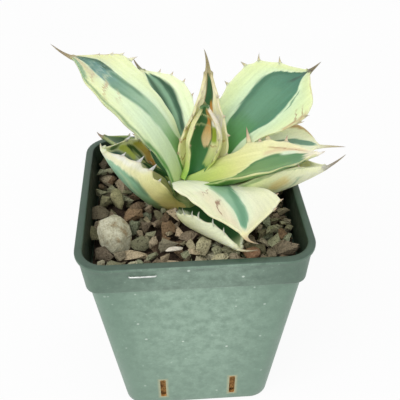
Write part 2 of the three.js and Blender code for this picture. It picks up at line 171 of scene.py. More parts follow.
def ramp(tree, value, stops):
    node = tree.nodes.new("ShaderNodeValToRGB")
    elements = node.color_ramp.elements
    if len(stops) == 1:
        stops = [stops[0], (1, stops[0][1])]
    while len(elements) < len(stops):
        elements.new(0.5)
    for element, (position, color) in zip(elements, stops):
        element.position = min(1, max(0, position))
        element.color = paint(*color)
    feed(tree, node.inputs[0], value)
    return node.outputs[0]


def grain(tree, vector, scale, detail=3.0, roughness=0.5, stretch=(1, 1, 1)):
    place = tree.nodes.new("ShaderNodeMapping")
    place.inputs["Scale"].default_value = stretch
    feed(tree, place.inputs["Vector"], vector)
    node = tree.nodes.new("ShaderNodeTexNoise")
    node.inputs["Scale"].default_value = scale
    node.inputs["Detail"].default_value = detail
    node.inputs["Roughness"].default_value = roughness
    feed(tree, node.inputs["Vector"], place.outputs[0])
    return node.outputs[0]


def cells(tree, vector, scale):
    node = tree.nodes.new("ShaderNodeTexVoronoi")
    node.inputs["Scale"].default_value = scale
    feed(tree, node.inputs["Vector"], vector)
    return node.outputs["Distance"]


# A noise turned into a push of up to half its size either way.
def sway(tree, noise, size):
    return calc(tree, "MULTIPLY_ADD", noise, size, -size / 2)


# The place on the piece: in millimetres, or in metres with a scale of 1.
def objectPlace(tree, scale=1000):
    coordinate = tree.nodes.new("ShaderNodeTexCoord")
    place = tree.nodes.new("ShaderNodeMapping")
    place.inputs["Scale"].default_value = (scale, scale, scale)
    tree.links.new(coordinate.outputs["Object"], place.inputs["Vector"])
    return place.outputs[0]


def attribute(tree, name, kind="Vector"):
    node = tree.nodes.new("ShaderNodeAttribute")
    node.attribute_name = name
    return node.outputs[kind]


def split(tree, vector):
    node = tree.nodes.new("ShaderNodeSeparateXYZ")
    tree.links.new(vector, node.inputs[0])
    return node.outputs


def addBump(tree, shader, height, distance, strength=1.0):
    node = tree.nodes.new("ShaderNodeBump")
    node.inputs["Strength"].default_value = strength
    node.inputs["Distance"].default_value = distance
    tree.links.new(height, node.inputs["Height"])
    tree.links.new(node.outputs[0], shader.inputs["Normal"])


crown = Vector((-0.5, 9, 0))
blade = {
    "seed": 300, "rootDepth": 3, "rootThickness": 4, "tipThickness": 1.6, "marginThickness": 0.8,
    "edgeRound": 0.42, "around": 64, "rows": 92, "crowding": 1.2,
    "spineRows": 12, "spineBreadth": 1.3, "spineDepth": 0.8, "spineTip": 0.14, "spineTaper": 0.6,
    "spinePoint": 8,
    "wave": 0.2, "waveTurn": 0.62, "waveStart": 0.3, "waveEnd": 0.2,
}
teeth = {
    "spacing": 7.2, "share": 0.72, "span": (0.24, 0.93), "reach": (1.2, 2.2), "forward": (-0.3, 1.2),
    "teatShare": 0.34, "teatMost": 0.9, "teatLength": 0.9, "teatGrowth": 0.22, "teatEdge": 8,
    "sides": 6, "steps": 6, "sunk": 0.5, "under": 0.35, "bow": 0.3, "sweep": 1.6, "taper": 1.1,
    "radius": (0.4, 0.75), "stoutAt": 4, "tip": 0.05, "breadth": 1.5, "depth": 0.7,
}

teal = (84, 134, 112)
cream = (220, 228, 190)
white = (234, 240, 214)
mint = (204, 224, 198)
browned = (168, 130, 102)


# A patch of colour lies between two edges, given as (along, across): from base to tip, and from -1 to 1.
def patch(top, low, span, tint, share=1.0, face=None, soft=0.045, halo=0):
    stops = tint if isinstance(tint, list) else [(0, tint)]
    return {"top": top, "low": low, "span": span, "tint": stops, "share": share, "face": face,
            "soft": soft, "halo": halo}


# A stroke of colour follows a path with a half width.
def stroke(path, width, span, tint, share=1.0, face=None):
    top, low = [(x, y + width) for x, y in path], [(x, y - width) for x, y in path]
    return patch(top, low, span, tint, share, face, width * 0.8)


# What a leaf has where its own entry doesn't say otherwise. The pinch says from where and how much its tip
# draws in.
plainLeaf = {
    "skew": 0, "neck": 0.42, "aside": 0, "veer": 0, "pinch": (0.8, 0.42), "rim": (230, 234, 176),
    "bands": [patch([(0, 0.3), (0.5, 0.42), (1, 0.2)], [(0, -0.3), (0.5, -0.42), (1, -0.2)], (-0.1, 0.97),
                    [(0.1, (88, 146, 74)), (0.4, (104, 154, 116)), (1, teal)], halo=0.5)],
    "toothTints": [(206, 184, 146), (136, 108, 88)],
    "spineTints": [(120, 112, 90), (104, 92, 82), (84, 70, 66)],
}

# Angles run from root to tip. A tooth is its place on the margin and how far it reaches out and along, and
# may go on with the height and spread of the swelling under it. Teeth are listed for the left (1) and right.
leaves = {
    "leaf_right_front": {
        "turn": -8, "sweep": 3, "rise": (26, 14), "cup": (55, 15), "twist": (2, -11), "length": 49.2,
        "width": 24.3, "widest": 0.6, "neck": 0.43, "point": 0.75, "seat": 1.6, "aside": -4, "height": 85.9,
        "spine": 2.8, "lift": 0.15, "veer": 0.06,
        "ground": [(0, (160, 186, 92)), (0.25, (200, 210, 124)), (0.4, (218, 218, 150)),
                   (0.6, (226, 225, 172)), (0.88, (222, 214, 184)), (1, (214, 208, 192))],
        "outerGround": [(0, (110, 140, 70)), (0.5, (190, 200, 140)), (1, cream)],
        "rim": (222, 218, 164),
        "bands": [
            patch([(0, 0.1), (0.1, -0.15), (0.2, -0.36), (0.34, -0.42), (0.4, -0.15), (0.47, 0.1),
                  (0.52, 0.26), (0.6, 0.35), (0.7, 0.4), (0.78, 0.34), (0.9, 0.2)], [(0, -1.2),
                  (0.9, -1.2)], (-0.1, 0.9), [(0.15, (76, 124, 40)), (0.36, (88, 128, 62)),
                  (0.55, (106, 142, 90)), (0.9, (84, 132, 92))], halo=0.25),
            patch([(0.1, -0.5), (0.5, -0.3), (0.9, -0.5)], [(0.1, -0.7), (0.5, -0.6), (0.9, -0.7)],
                  (0.3, 0.8), (136, 172, 112), 0.4, soft=0.12),
            stroke([(0.4, -0.2), (0.47, 0.05), (0.52, 0.2), (0.6, 0.29), (0.7, 0.33), (0.8, 0.28),
                   (0.9, 0.12)], 0.06, (0.4, 0.9), (70, 118, 74), 0.6),
            patch([(0.7, 0.5), (0.9, 0.5)], [(0.7, 0.3), (0.9, 0.26)], (0.74, 0.86), (206, 220, 196), 0.9,
                  soft=0.08),
            stroke([(0.55, 0.5), (0.7, 0.6), (0.9, 0.66)], 0.1, (0.6, 0.92), (200, 170, 138), 0.55),
            stroke([(0.6, 0.76), (0.75, 0.7), (0.92, 0.5)], 0.03, (0.64, 0.94), (156, 116, 84), 0.6),
        ],
        "teeth": {1: [(0.25, 4.2, -3.4), (0.32, 1.6, -0.5), (0.5, 7, 0.2, 1.7, 2.4), (0.58, 2.4, 0.6),
                  (0.65, 7, -1.2, 1.5, 2), (0.78, 2.6, 1.1)], -1: []},
        "toothTints": [(216, 184, 156), (172, 128, 112)],
        "spineTints": [(222, 214, 196), (210, 206, 196), (140, 112, 100)],
    },
    "leaf_front_right": {
        "turn": -45, "sweep": -47, "rise": (26, 1), "cup": (-9, 29), "twist": (-24, 10), "length": 56.3,
        "width": 29.7, "widest": 0.56, "skew": -0.19, "neck": 0.15, "point": 0.59, "seat": -4.4,
        "height": 84, "spine": 7.2, "lift": 0.21, "veer": 0.58, "trim": (-1, 0.08, 0.16, -4),
        "ground": [(0, (246, 250, 226)), (0.4, (244, 248, 218)), (0.7, (226, 228, 196)),
                   (1, (206, 204, 172))],
        "rim": (228, 230, 178),
        "bands": [
            patch([(0.3, 0.95), (0.35, 0.85), (0.4, 0.65), (0.45, 0.5), (0.5, 0.38), (0.6, 0.28),
                  (0.7, 0.22), (0.95, 0.18)], [(0.3, 0.0), (0.4, -0.1), (0.6, -0.15), (0.8, -0.12),
                  (0.95, -0.2)], (0.3, 0.96), [(0.35, (132, 172, 132)), (0.6, (140, 178, 150)),
                  (1, (112, 158, 128))], halo=0.6),
            stroke([(0.45, 0.42), (0.5, 0.28), (0.6, 0.18), (0.7, 0.1), (0.8, 0.06), (0.95, 0)], 0.09,
                   (0.46, 0.95), (88, 138, 106), 0.75),
            patch([(0.4, -0.2), (1, -0.3)], [(0.4, -0.6), (1, -0.8)], (0.44, 0.92), (218, 200, 172), 0.45,
                  soft=0.2),
            stroke([(0.43, -0.2), (0.46, -0.32), (0.51, -0.52)], 0.022, (0.43, 0.51), (164, 126, 104),
                   0.85),
            stroke([(0.6, -0.26), (0.66, -0.38), (0.72, -0.5), (0.84, -0.6)], 0.026, (0.61, 0.8),
                   (142, 104, 84), 0.9),
        ],
        "teeth": {1: [(0.72, 0.9, 0.3), (0.8, 1.1, 0.4), (0.87, 1, 0.4)], -1: []},
        "toothTints": [(196, 166, 130), (138, 106, 84)],
        "spineTints": [(210, 206, 160), (172, 150, 122), (110, 88, 74)],
    },
    "leaf_bud": {
        "turn": 40, "sweep": 12, "rise": (55, 96), "cup": (99, 112), "twist": (50, 34), "length": 29,
        "width": 19.5, "widest": 0.56, "point": 0.75, "seat": 2.4, "height": 86.8, "spine": 2, "lift": 0,
        "ground": [(0, (66, 128, 72)), (0.4, (62, 122, 68)), (0.7, (58, 112, 60)), (1, (60, 106, 58))],
        "outerGround": [(0, (150, 186, 84)), (0.2, (206, 216, 140)), (0.6, (226, 224, 172)),
                        (0.85, (206, 200, 150)), (1, (90, 112, 66))],
        "rim": (206, 206, 150),
        "bands": [
            patch([(0, -0.34), (1, -0.3)], [(0, -1.2), (1, -1.2)], (0.2, 0.62), [(0.2, (176, 196, 110)),
                  (0.5, (224, 222, 168))], soft=0.08),
            patch([(0, -0.5), (1, -0.46)], [(0, -1.2), (1, -1.2)], (0.58, 1.1), [(0.6, (214, 208, 180)),
                  (0.85, (222, 210, 192))], soft=0.08),
            patch([(0.5, -0.3), (0.85, -0.26)], [(0.5, -0.6), (0.85, -0.54)], (0.52, 0.82),
                  [(0.5, (150, 176, 60)), (0.8, (158, 164, 58))], face="inner", soft=0.06),
            patch([(0.42, -0.06), (0.48, 0.06), (0.56, 0.1), (0.66, 0.02), (0.8, -0.12)], [(0.42, -0.14),
                  (0.48, -0.24), (0.56, -0.3), (0.66, -0.26), (0.8, -0.24)], (0.42, 0.86),
                  [(0.5, (226, 202, 154)), (0.62, (222, 190, 128)), (0.78, (208, 142, 66))], face="inner"),
            stroke([(0.4, -0.3), (0.6, -0.3), (0.85, -0.25)], 0.03, (0.5, 0.84), (96, 92, 46), 0.7,
                   face="inner"),
            stroke([(0.44, -0.2), (0.47, -0.45), (0.5, -0.75)], 0.07, (0.43, 0.5), (168, 126, 84), 0.7),
            patch([(0, -0.3), (1, -0.3)], [(0, -1), (1, -1)], (0.74, 0.86), (238, 234, 228), 0.9,
                  face="inner"),
            patch([(0, -0.2), (1, -0.1)], [(0, -1), (1, -1)], (0.82, 0.97), (196, 150, 84), 0.8,
                  face="inner"),
            stroke([(0.86, -0.3), (0.88, 0.1), (0.91, 0.7)], 0.26, (0.85, 0.91), (196, 204, 150), 0.75),
            stroke([(0.72, -0.1), (0.74, 0.2), (0.78, 0.8)], 0.26, (0.72, 0.78), (186, 198, 146), 0.75),
        ],
        "teeth": {1: [(0.5, 1, 0.5), (0.78, 1, 0.6)], -1: [(0.3, 1.8, 0.8), (0.46, 1.4, 0.4),
                  (0.64, 1.4, 0.6)]},
        "toothTints": [(206, 176, 132), (176, 128, 88)],
        "spineTints": [(62, 100, 58), (84, 96, 60), (100, 84, 64)],
    },
    "leaf_spear": {
        "turn": 51, "sweep": 17, "rise": (59, 87), "cup": (36, 92), "twist": (36, 30), "length": 45.5,
        "width": 24, "widest": 0.45, "point": 0.71, "seat": 2.7, "height": 81.6, "spine": 9.1, "lift": 0,
        "veer": 0.18, "pinch": (0.2, 0.58),
        "ground": [(0, (140, 176, 84)), (0.24, (222, 228, 150)), (0.42, (250, 250, 200)),
                   (0.65, (252, 250, 216)), (0.85, (248, 238, 212)), (1, (180, 166, 130))],
        "outerGround": [(0, (110, 156, 66)), (0.3, (196, 206, 122)), (0.8, (224, 222, 176)),
                        (1, (180, 164, 130))],
        "rim": (236, 224, 182),
        "bands": [
            patch([(0.3, 0.3), (0.6, 0.24), (0.72, 0.26), (0.82, 0.2), (0.9, 0.26), (1, 0.4)], [(0.3, -0.5),
                  (0.6, -0.26), (0.76, -0.44), (0.88, -0.62), (1, -0.6)], (-0.1, 0.985),
                  [(0.2, (76, 128, 62)), (0.7, (56, 106, 62)), (1, (46, 92, 58))], face="inner"),
            stroke([(0.56, -0.3), (0.66, -0.28), (0.8, -0.34)], 0.07, (0.58, 0.76), (224, 158, 74), 0.85,
                   face="inner"),
            patch([(0.5, -0.42), (0.75, -0.42)], [(0.5, -0.85), (0.75, -0.8)], (0.56, 0.66),
                  (246, 240, 240), 0.9, face="inner", soft=0.1),
            stroke([(0.76, -0.42), (0.88, -0.42), (1, -0.36)], 0.03, (0.78, 0.97), (84, 74, 52), 0.7,
                   face="inner"),
            stroke([(0.7, 0.3), (0.86, 0.14), (1, 0.06)], 0.05, (0.72, 0.98), (176, 150, 112), 0.7,
                   face="inner"),
            stroke([(0.22, 1), (0.25, 0.8), (0.29, 0.56)], 0.05, (0.22, 0.29), (160, 122, 78), 0.8),
            stroke([(0.38, 1.05), (0.42, 0.8), (0.46, 0.5)], 0.06, (0.38, 0.46), (192, 142, 88), 0.8),
            stroke([(0.5, 1), (0.54, 0.7), (0.56, 0.3)], 0.06, (0.5, 0.56), (196, 150, 108), 0.8),
            stroke([(0.6, 1), (0.63, 0.66), (0.64, 0.24)], 0.06, (0.6, 0.64), (204, 160, 120), 0.8),
            stroke([(0.74, 1), (0.78, 0.6), (0.8, 0.3)], 0.06, (0.74, 0.8), (200, 156, 118), 0.6),
            stroke([(0.4, -0.5), (0.44, -0.75), (0.47, -1)], 0.06, (0.4, 0.47), (190, 146, 104), 0.6),
        ],
        "teeth": {1: [(0.28, 1.4, 0.6), (0.42, 1.6, 0.8), (0.54, 2, 0.6), (0.65, 2.2, 1), (0.76, 2.4, 1.2),
                  (0.85, 2, 1.5)], -1: [(0.5, 1.6, 0.6), (0.65, 1.8, 1), (0.81, 2, 1.2)]},
        "toothTints": [(222, 196, 166), (192, 148, 116)],
        "spineTints": [(150, 142, 110), (122, 110, 92), (92, 76, 72)],
    },
    "leaf_back_left": {
        "turn": 105, "sweep": 19, "rise": (68, 14), "cup": (56, 19), "twist": (-9, 12), "length": 47.5,
        "width": 22.1, "widest": 0.62, "skew": 0.04, "neck": 0.37, "point": 0.74, "seat": 3.6,
        "height": 86.6, "spine": 7.7, "lift": 0.21,
        "ground": [(0, (206, 222, 158)), (0.4, (220, 236, 204)), (0.9, (226, 238, 198)),
                   (1, (196, 196, 164))],
        "rim": (222, 230, 176),
        "bands": [
            patch([(0.1, 0.3), (0.6, 0.32), (1, 0.2)], [(0.1, -0.36), (0.6, -0.42), (0.88, -0.42),
                  (1, -0.3)], (-0.1, 0.93), [(0, (100, 150, 96)), (0.4, (134, 172, 142)),
                  (0.9, (122, 160, 134))], halo=0.3),
            stroke([(0.3, -0.3), (0.4, -0.34), (0.6, -0.38), (0.9, -0.4)], 0.11, (0.34, 0.92),
                   (48, 86, 62)),
            stroke([(0.3, 0.1), (0.5, 0.04), (0.9, 0.1)], 0.13, (0.5, 0.93), (66, 100, 74)),
        ],
        "teeth": {1: [(0.5, 1.2, 0.5), (0.66, 1.3, 0.6), (0.8, 1.3, 0.8)], -1: [(0.59, 1.1, 0.8),
                  (0.73, 1.4, 1.2), (0.84, 1.6, 1.2), (0.91, 1.6, 1.4)]},
        "spineTints": [(110, 116, 92), (96, 88, 80), (92, 74, 72)],
    },
    "leaf_upper_left": {
        "turn": 162, "sweep": -11, "rise": (82, 11), "cup": (-1, 7), "twist": (-11, 5), "length": 65.4,
        "width": 28.7, "widest": 0.68, "skew": 0.07, "neck": 0.49, "point": 0.81, "seat": 2.5,
        "height": 86.4, "spine": 9.6, "lift": 0.2, "trim": (-1, 0.53, 0.11, 1.7),
        "ground": [(0, (186, 204, 140)), (0.2, (196, 216, 180)), (0.45, (214, 232, 202)),
                   (0.75, (224, 234, 190)), (1, (186, 178, 146))],
        "rim": (224, 232, 168),
        "bands": [
            patch([(0, -0.2), (0.1, -0.15), (0.3, -0.02), (0.4, 0.03), (0.5, 0.08), (0.6, 0.2),
                  (0.65, 0.27), (0.72, 0.32), (0.8, 0.28), (0.9, 0.16), (1, 0.05)], [(0, -0.9),
                  (0.2, -0.78), (0.25, -0.62), (0.4, -0.5), (0.5, -0.42), (0.6, -0.3), (0.7, -0.22),
                  (0.8, -0.28), (0.9, -0.5), (1, -0.4)], (-0.1, 0.99), [(0.1, (104, 158, 70)),
                  (0.24, (124, 168, 112)), (0.34, (158, 188, 154)), (0.55, (150, 182, 154)),
                  (0.68, (122, 158, 136)), (0.8, (104, 144, 138)), (0.9, (88, 128, 116)),
                  (1, (84, 96, 80))], soft=0.05, halo=0.55),
            stroke([(0.45, 0.02), (0.5, 0.05), (0.6, 0.16), (0.72, 0.26)], 0.07, (0.46, 0.72),
                   (106, 144, 116), 0.6),
            stroke([(0.5, -0.39), (0.6, -0.27), (0.7, -0.19), (0.76, -0.18)], 0.06, (0.54, 0.76),
                   (92, 130, 100), 0.7),
            stroke([(0.72, -0.18), (0.8, -0.24), (0.9, -0.44), (1, -0.4)], 0.08, (0.78, 1.1), (62, 94, 70),
                   0.9),
            stroke([(0.8, 0.24), (0.82, 0), (0.826, -0.14)], 0.16, (0.8, 0.826), (170, 188, 174), 0.7),
            stroke([(0.735, 0.34), (0.76, 0.1), (0.768, -0.06)], 0.16, (0.735, 0.768), (196, 206, 176),
                   0.8),
            stroke([(0.86, 0.16), (0.878, -0.1), (0.884, -0.24)], 0.16, (0.86, 0.884), (160, 178, 160),
                   0.6),
            stroke([(0, 0.93), (1, 0.93)], 0.1, (-0.1, 0.36), (76, 134, 62), 0.95),
            stroke([(0, 0.96), (1, 0.95)], 0.07, (0.3, 0.97), (106, 136, 100), 0.8),
            patch([(0.8, 1.1), (1, 1.1)], [(0.8, 0.78), (1, 0.5)], (0.82, 1), (110, 148, 122), 0.8,
                  soft=0.1),
            stroke([(0.69, 0.84), (0.715, 0.56), (0.745, 0.28)], 0.07, (0.69, 0.75), (186, 156, 122), 0.8),
            stroke([(0.62, 0.6), (0.64, 0.42), (0.67, 0.24)], 0.05, (0.62, 0.67), (196, 184, 150), 0.6),
            stroke([(0.79, 0.7), (0.81, 0.5), (0.835, 0.3)], 0.06, (0.79, 0.835), (178, 150, 124), 0.7),
            patch([(0.7, 0.66), (1, 0.5)], [(0.7, 0.4), (1, 0.2)], (0.8, 0.97), (196, 184, 152), 0.6,
                  soft=0.1),
            stroke([(0, -0.97), (1, -0.97)], 0.03, (0.82, 0.97), (176, 150, 116), 0.8),
        ],
        "teeth": {1: [], -1: [(0.75, 4.4, -1.4), (0.81, 2.4, -0.4, 1.3, 2.4), (0.85, 1.8, 0.3),
                  (0.9, 1.2, 0.5)]},
        "toothTints": [(222, 222, 180), (196, 176, 166)],
        "spineTints": [(140, 128, 98), (112, 98, 84), (86, 72, 72)],
    },
    "leaf_back_right": {
        "turn": 29, "sweep": 0, "rise": (49, 19), "cup": (39, 26), "twist": (16, 17), "length": 61.5,
        "width": 35.5, "widest": 0.67, "neck": 0.39, "point": 0.78, "seat": 7.9, "aside": 1.4,
        "height": 81.9, "spine": 6.7, "lift": 0.1, "veer": 0.03, "trim": (-1, 0.4, 0.17, 5.2),
        "ground": [(0, (196, 210, 152)), (0.4, (196, 216, 182)), (0.8, (200, 216, 174)),
                   (1, (196, 206, 164))],
        "rim": (226, 233, 174),
        "bands": [
            patch([(0, 0.35), (0.4, 0.5), (0.5, 0.5), (0.6, 0.53), (0.7, 0.57), (0.8, 0.6), (0.88, 0.54),
                  (0.95, 0.3), (1, 0.1)], [(0, -0.35), (0.45, -0.4), (0.5, -0.42), (0.6, -0.4),
                  (0.7, -0.37), (0.85, -0.3), (0.95, -0.14), (1, -0.1)], (-0.1, 1.1), [(0.2, (84, 150, 70)),
                  (0.42, (82, 140, 84)), (0.52, (84, 130, 98)), (0.8, (84, 130, 106)),
                  (0.93, (70, 116, 100)), (1, (80, 90, 72))], soft=0.035, halo=0.7),
            stroke([(0.4, 0.44), (0.6, 0.47), (0.7, 0.51), (0.8, 0.53), (0.88, 0.46), (0.95, 0.24)], 0.06,
                   (0.42, 0.97), (58, 104, 80), 0.6),
            stroke([(0.4, -0.33), (0.5, -0.36), (0.7, -0.32), (0.85, -0.24)], 0.05, (0.42, 0.85),
                   (72, 124, 98), 0.6),
            stroke([(0.66, -0.44), (0.9, -0.34), (1, -0.16)], 0.018, (0.68, 0.84), (92, 138, 108), 0.8),
            patch([(0.5, 0.34), (0.75, 0.3)], [(0.5, -0.1), (0.75, -0.1)], (0.5, 0.76), (104, 150, 122),
                  0.5, soft=0.2),
            stroke([(0.8, 0.1), (0.9, 0.04), (1, 0)], 0.045, (0.84, 1.1), (70, 90, 80), 0.8),
            stroke([(0, -0.97), (1, -0.97)], 0.03, (0.86, 0.98), browned, 0.6),
            stroke([(0, -0.96), (1, -0.96)], 0.04, (0.56, 0.74), browned, 0.7),
            stroke([(0.64, -0.95), (0.68, -0.82), (0.71, -0.66)], 0.022, (0.64, 0.71), (150, 116, 92), 0.8),
            stroke([(0.7, -0.95), (0.73, -0.84), (0.75, -0.76)], 0.022, (0.7, 0.75), (150, 116, 92), 0.8),
        ],
        "teeth": {1: [(0.45, 1.3, 0.4), (0.56, 1.7, 0), (0.72, 2.4, -0.6), (0.8, 2.2, 2.4),
                  (0.89, 2.2, 1.8)], -1: [(0.66, 2, 1.4), (0.72, 1.2, 1)]},
        "toothTints": [(178, 160, 124), (110, 100, 84)],
        "spineTints": [(96, 92, 78), (92, 80, 74), (84, 68, 68)],
    },
    "leaf_right_back": {
        "turn": 22, "sweep": -18, "rise": (21, -2), "cup": (23, 26), "twist": (0, 6), "length": 51.5,
        "width": 22.8, "widest": 0.75, "skew": -0.17, "neck": 0.4, "point": 0.7, "seat": 4.5,
        "height": 82.7, "spine": 10.9, "lift": 0.08, "veer": -0.2,
        "ground": [(0, (212, 222, 160)), (0.5, (240, 248, 206)), (0.8, (250, 252, 218)),
                   (1, (232, 232, 202))],
        "rim": (228, 232, 184),
        "bands": [
            patch([(0.1, 0.3), (0.5, 0.5), (0.7, 0.55), (0.8, 0.5), (0.9, 0.4), (1, 0.2)], [(0.1, -0.3),
                  (0.5, -0.2), (0.8, 0.2), (0.9, 0), (1, -0.1)], (-0.1, 0.98), [(0.2, (110, 152, 90)),
                  (0.8, (126, 160, 140)), (1, (110, 148, 130))], halo=0.4),
            stroke([(0.7, 0.42), (0.8, 0.36)], 0.08, (0.7, 0.79), browned, 0.6),
            stroke([(0, 0.96), (1, 0.96)], 0.06, (0.8, 1), (170, 126, 92), 0.9),
        ],
        "teeth": {1: [(0.87, 1.6, 0.6, 2.4, 5), (0.8, 3, 0.8), (0.66, 1.6, 0.4)], -1: [(0.6, 1.4, 0.4),
                  (0.8, 1.4, 0.4)]},
        "toothTints": [(186, 146, 106), (134, 96, 76)],
        "spineTints": [(204, 204, 176), (166, 156, 134), (100, 78, 76)],
    },
    "leaf_left": {
        "turn": 187, "sweep": -1, "rise": (34, 67), "cup": (88, 85), "twist": (4, 0), "length": 39,
        "width": 33.1, "widest": 0.53, "skew": 0.09, "neck": 0.48, "point": 0.89, "seat": 6.2,
        "height": 74.7, "spine": 2.6, "lift": 0.26,
        "ground": [(0, (196, 200, 120)), (0.35, (206, 206, 142)), (0.55, (206, 214, 196)),
                   (0.85, (206, 212, 190)), (1, (190, 194, 160))],
        "outerGround": [(0, (216, 196, 118)), (0.3, (230, 220, 144)), (0.6, (232, 228, 170)),
                        (0.84, (220, 218, 190)), (1, (206, 206, 186))],
        "rim": (226, 222, 158),
        "bands": [
            # the outer band's olive toward its root is painted shade
            patch([(0, 0.6), (0.2, 0.55), (0.4, 0.6), (0.5, 0.62), (0.6, 0.68), (0.7, 0.72), (0.8, 0.72),
                  (0.88, 0.64), (0.95, 0.4)], [(0, -0.6), (0.4, -0.65), (0.7, -0.7), (0.84, -0.42),
                  (0.9, -0.2)], (-0.1, 0.93), [(0.15, (124, 138, 76)), (0.36, (140, 178, 130)),
                  (0.6, (140, 182, 148)), (0.9, (146, 184, 156))], face="outer", soft=0.05),
            stroke([(0.4, 0.58), (0.5, 0.6), (0.6, 0.66), (0.7, 0.7)], 0.035, (0.44, 0.72), (84, 128, 100),
                   0.6, face="outer"),
            stroke([(0.4, 0.36), (0.55, 0.44), (0.7, 0.54)], 0.05, (0.5, 0.8), (186, 206, 168), 0.6,
                   face="outer"),
            patch([(0, 1.1), (1, 1.1)], [(0, 0.96), (1, 0.88)], (0.66, 0.95), (222, 222, 218), 0.5,
                  face="outer"),
            patch([(0, 0.4), (1, 0.4)], [(0, -0.5), (0.6, -0.5), (1, -0.3)], (-0.1, 0.92),
                  [(0.5, (88, 130, 84)), (0.8, (92, 130, 112))], 0.95, face="inner"),
            stroke([(0.5, -0.52), (0.6, -0.48), (0.75, -0.36), (0.9, -0.28)], 0.12, (0.54, 0.88),
                   (60, 98, 102), 0.9, face="inner"),
            patch([(0.5, -0.58), (0.9, -0.5)], [(0, -0.74), (1, -0.74)], (0.58, 0.84), (196, 204, 96), 0.9,
                  face="inner"),
            # painted shadow: the dark line across the inner face
            stroke([(0, -0.76), (1, -0.78)], 0.05, (0.36, 0.78), (58, 88, 44), face="inner"),
            patch([(0, -0.82), (1, -0.84)], [(0, -1.1), (1, -1.1)], (0.3, 0.72), [(0.4, (170, 120, 56)),
                  (0.7, (166, 160, 66))], 0.95, face="inner"),
            patch([(0, -0.5), (1, -0.5)], [(0, -1.1), (1, -1.1)], (0.86, 0.94), (58, 92, 62), 0.9,
                  face="inner"),
            patch([(0, 1.1), (1, 1.1)], [(0, 0.7), (1, 0.7)], (0.4, 0.95), (224, 222, 222), 0.9,
                  face="inner"),
        ],
        "teeth": {1: [(0.5, 1.4, 0.6), (0.66, 3.2, 1, 2.6, 2.1), (0.79, 3, 1.4, 3, 2.4),
                  (0.89, 1.8, 1, 2, 1.7)], -1: [(0.5, 1.4, 0.5), (0.7, 2, 0.8), (0.84, 2, 0.8)]},
        "toothTints": [(224, 224, 222), (214, 210, 216)],
        "spineTints": [(206, 212, 182), (196, 196, 172), (150, 136, 124)],
    },
    "leaf_left_back": {
        "turn": 151, "sweep": 6, "rise": (24, 16), "cup": (39, 31), "twist": (1, 19), "length": 38,
        "width": 15, "widest": 0.56, "point": 0.73, "seat": 3.4, "aside": -4.4, "height": 81.9,
        "spine": 3.1, "lift": 0.26, "veer": -0.17,
        # its dark greens are painted shade over the leaf's own green, where it lies shaded between its
        # neighbours
        "ground": [(0, (80, 112, 50)), (0.3, (130, 140, 66)), (0.5, (150, 160, 106)), (0.8, (96, 126, 80)),
                   (1, (90, 104, 72))],
        "rim": (170, 180, 120),
        "bands": [
            patch([(0, 1.1), (0.4, 1.1), (0.55, 0.6), (1, 0.6)], [(0, -0.75), (1, -0.75)], (-0.1, 0.97),
                  [(0, (46, 96, 46)), (0.8, (48, 80, 44)), (0.95, (76, 102, 66))]),
        ],
        "teeth": {1: [(0.6, 1.2, 0.4), (0.8, 1.2, 0.4)], -1: [(0.55, 1.2, 0.4), (0.78, 1.6, 0.2)]},
        "toothTints": [(206, 206, 180), (160, 140, 120)],
        "spineTints": [(130, 122, 100), (116, 96, 84), (96, 78, 70)],
    },
    "leaf_right_low": {
        "turn": -21, "sweep": 10, "rise": (10, 37), "cup": (71, 75), "twist": (-8, -25), "length": 50.2,
        "width": 26.3, "widest": 0.58, "point": 0.68, "seat": 5.3, "height": 80.1, "spine": 8.9,
        "lift": 0.12,
        "ground": [(0, (150, 176, 96)), (0.5, cream), (0.8, white), (1, (206, 206, 186))],
        "outerGround": [(0, (168, 190, 112)), (0.4, (194, 212, 150)), (0.6, (216, 224, 170)),
                        (0.78, (226, 230, 190)), (0.95, (222, 224, 196)), (1, (206, 204, 184))],
        "rim": (214, 220, 160),
        "bands": [
            patch([(0, -0.9), (0.5, -0.9), (0.62, -0.95)], [(0, -1.1), (1, -1.1)], (0.3, 0.6),
                  (122, 158, 96), 0.85, face="outer", soft=0.06),
            patch([(0.6, -0.45), (0.8, -0.6)], [(0.6, -0.7), (0.8, -0.85)], (0.61, 0.76), (210, 182, 96),
                  0.6, face="outer", soft=0.08),
            stroke([(0.68, -0.15), (0.74, -0.35), (0.82, -0.62)], 0.05, (0.69, 0.83), (134, 170, 140), 0.6,
                   face="outer"),
            patch([(0, 0.5), (1, 0.5)], [(0, -0.2), (1, -0.1)], (-0.1, 0.6), (110, 150, 96), 0.8,
                  face="outer", soft=0.15),
            patch([(0, 0.35), (1, 0.3)], [(0, -0.4), (1, -0.3)], (-0.1, 0.96), [(0, (96, 142, 104)),
                  (1, (70, 100, 84))], face="inner"),
            stroke([(0, -0.97), (1, -0.97)], 0.03, (0.4, 0.95), (150, 168, 120), 0.7),
        ],
        "teeth": {1: [(0.5, 1.6, 0.5), (0.7, 1.6, 0.6), (0.85, 1.4, 0.6)], -1: [(0.86, 1, 0.4)]},
        "toothTints": [(206, 190, 150), (160, 130, 104)],
        "spineTints": [(158, 158, 148), (112, 102, 96), (92, 76, 70)],
    },
    "leaf_front_low": {
        "turn": -77, "sweep": 15, "rise": (11, 16), "cup": (45, 86), "twist": (19, -29), "length": 42.6,
        "width": 24.5, "widest": 0.52, "skew": -0.06, "neck": 0.43, "point": 0.77, "seat": 2.7,
        "height": 77, "spine": 7.4, "lift": 0.36, "veer": 0.32,
        # the inner face's dark greens up to s 0.8 are painted shade in the leaf's channel, over its own
        # green
        "ground": [(0, (36, 74, 32)), (0.5, (50, 98, 54)), (0.8, (66, 116, 72)), (0.95, (190, 204, 160)),
                   (1, (206, 208, 170))],
        "outerGround": [(0, (214, 220, 146)), (0.4, (236, 242, 184)), (0.7, (243, 248, 208)),
                        (1, (240, 245, 207))],
        "rim": (222, 230, 184),
        "bands": [
            patch([(0, 1.1), (1, 1.1)], [(0, 0.74), (1, 0.7)], (0.2, 1), cream, face="inner"),
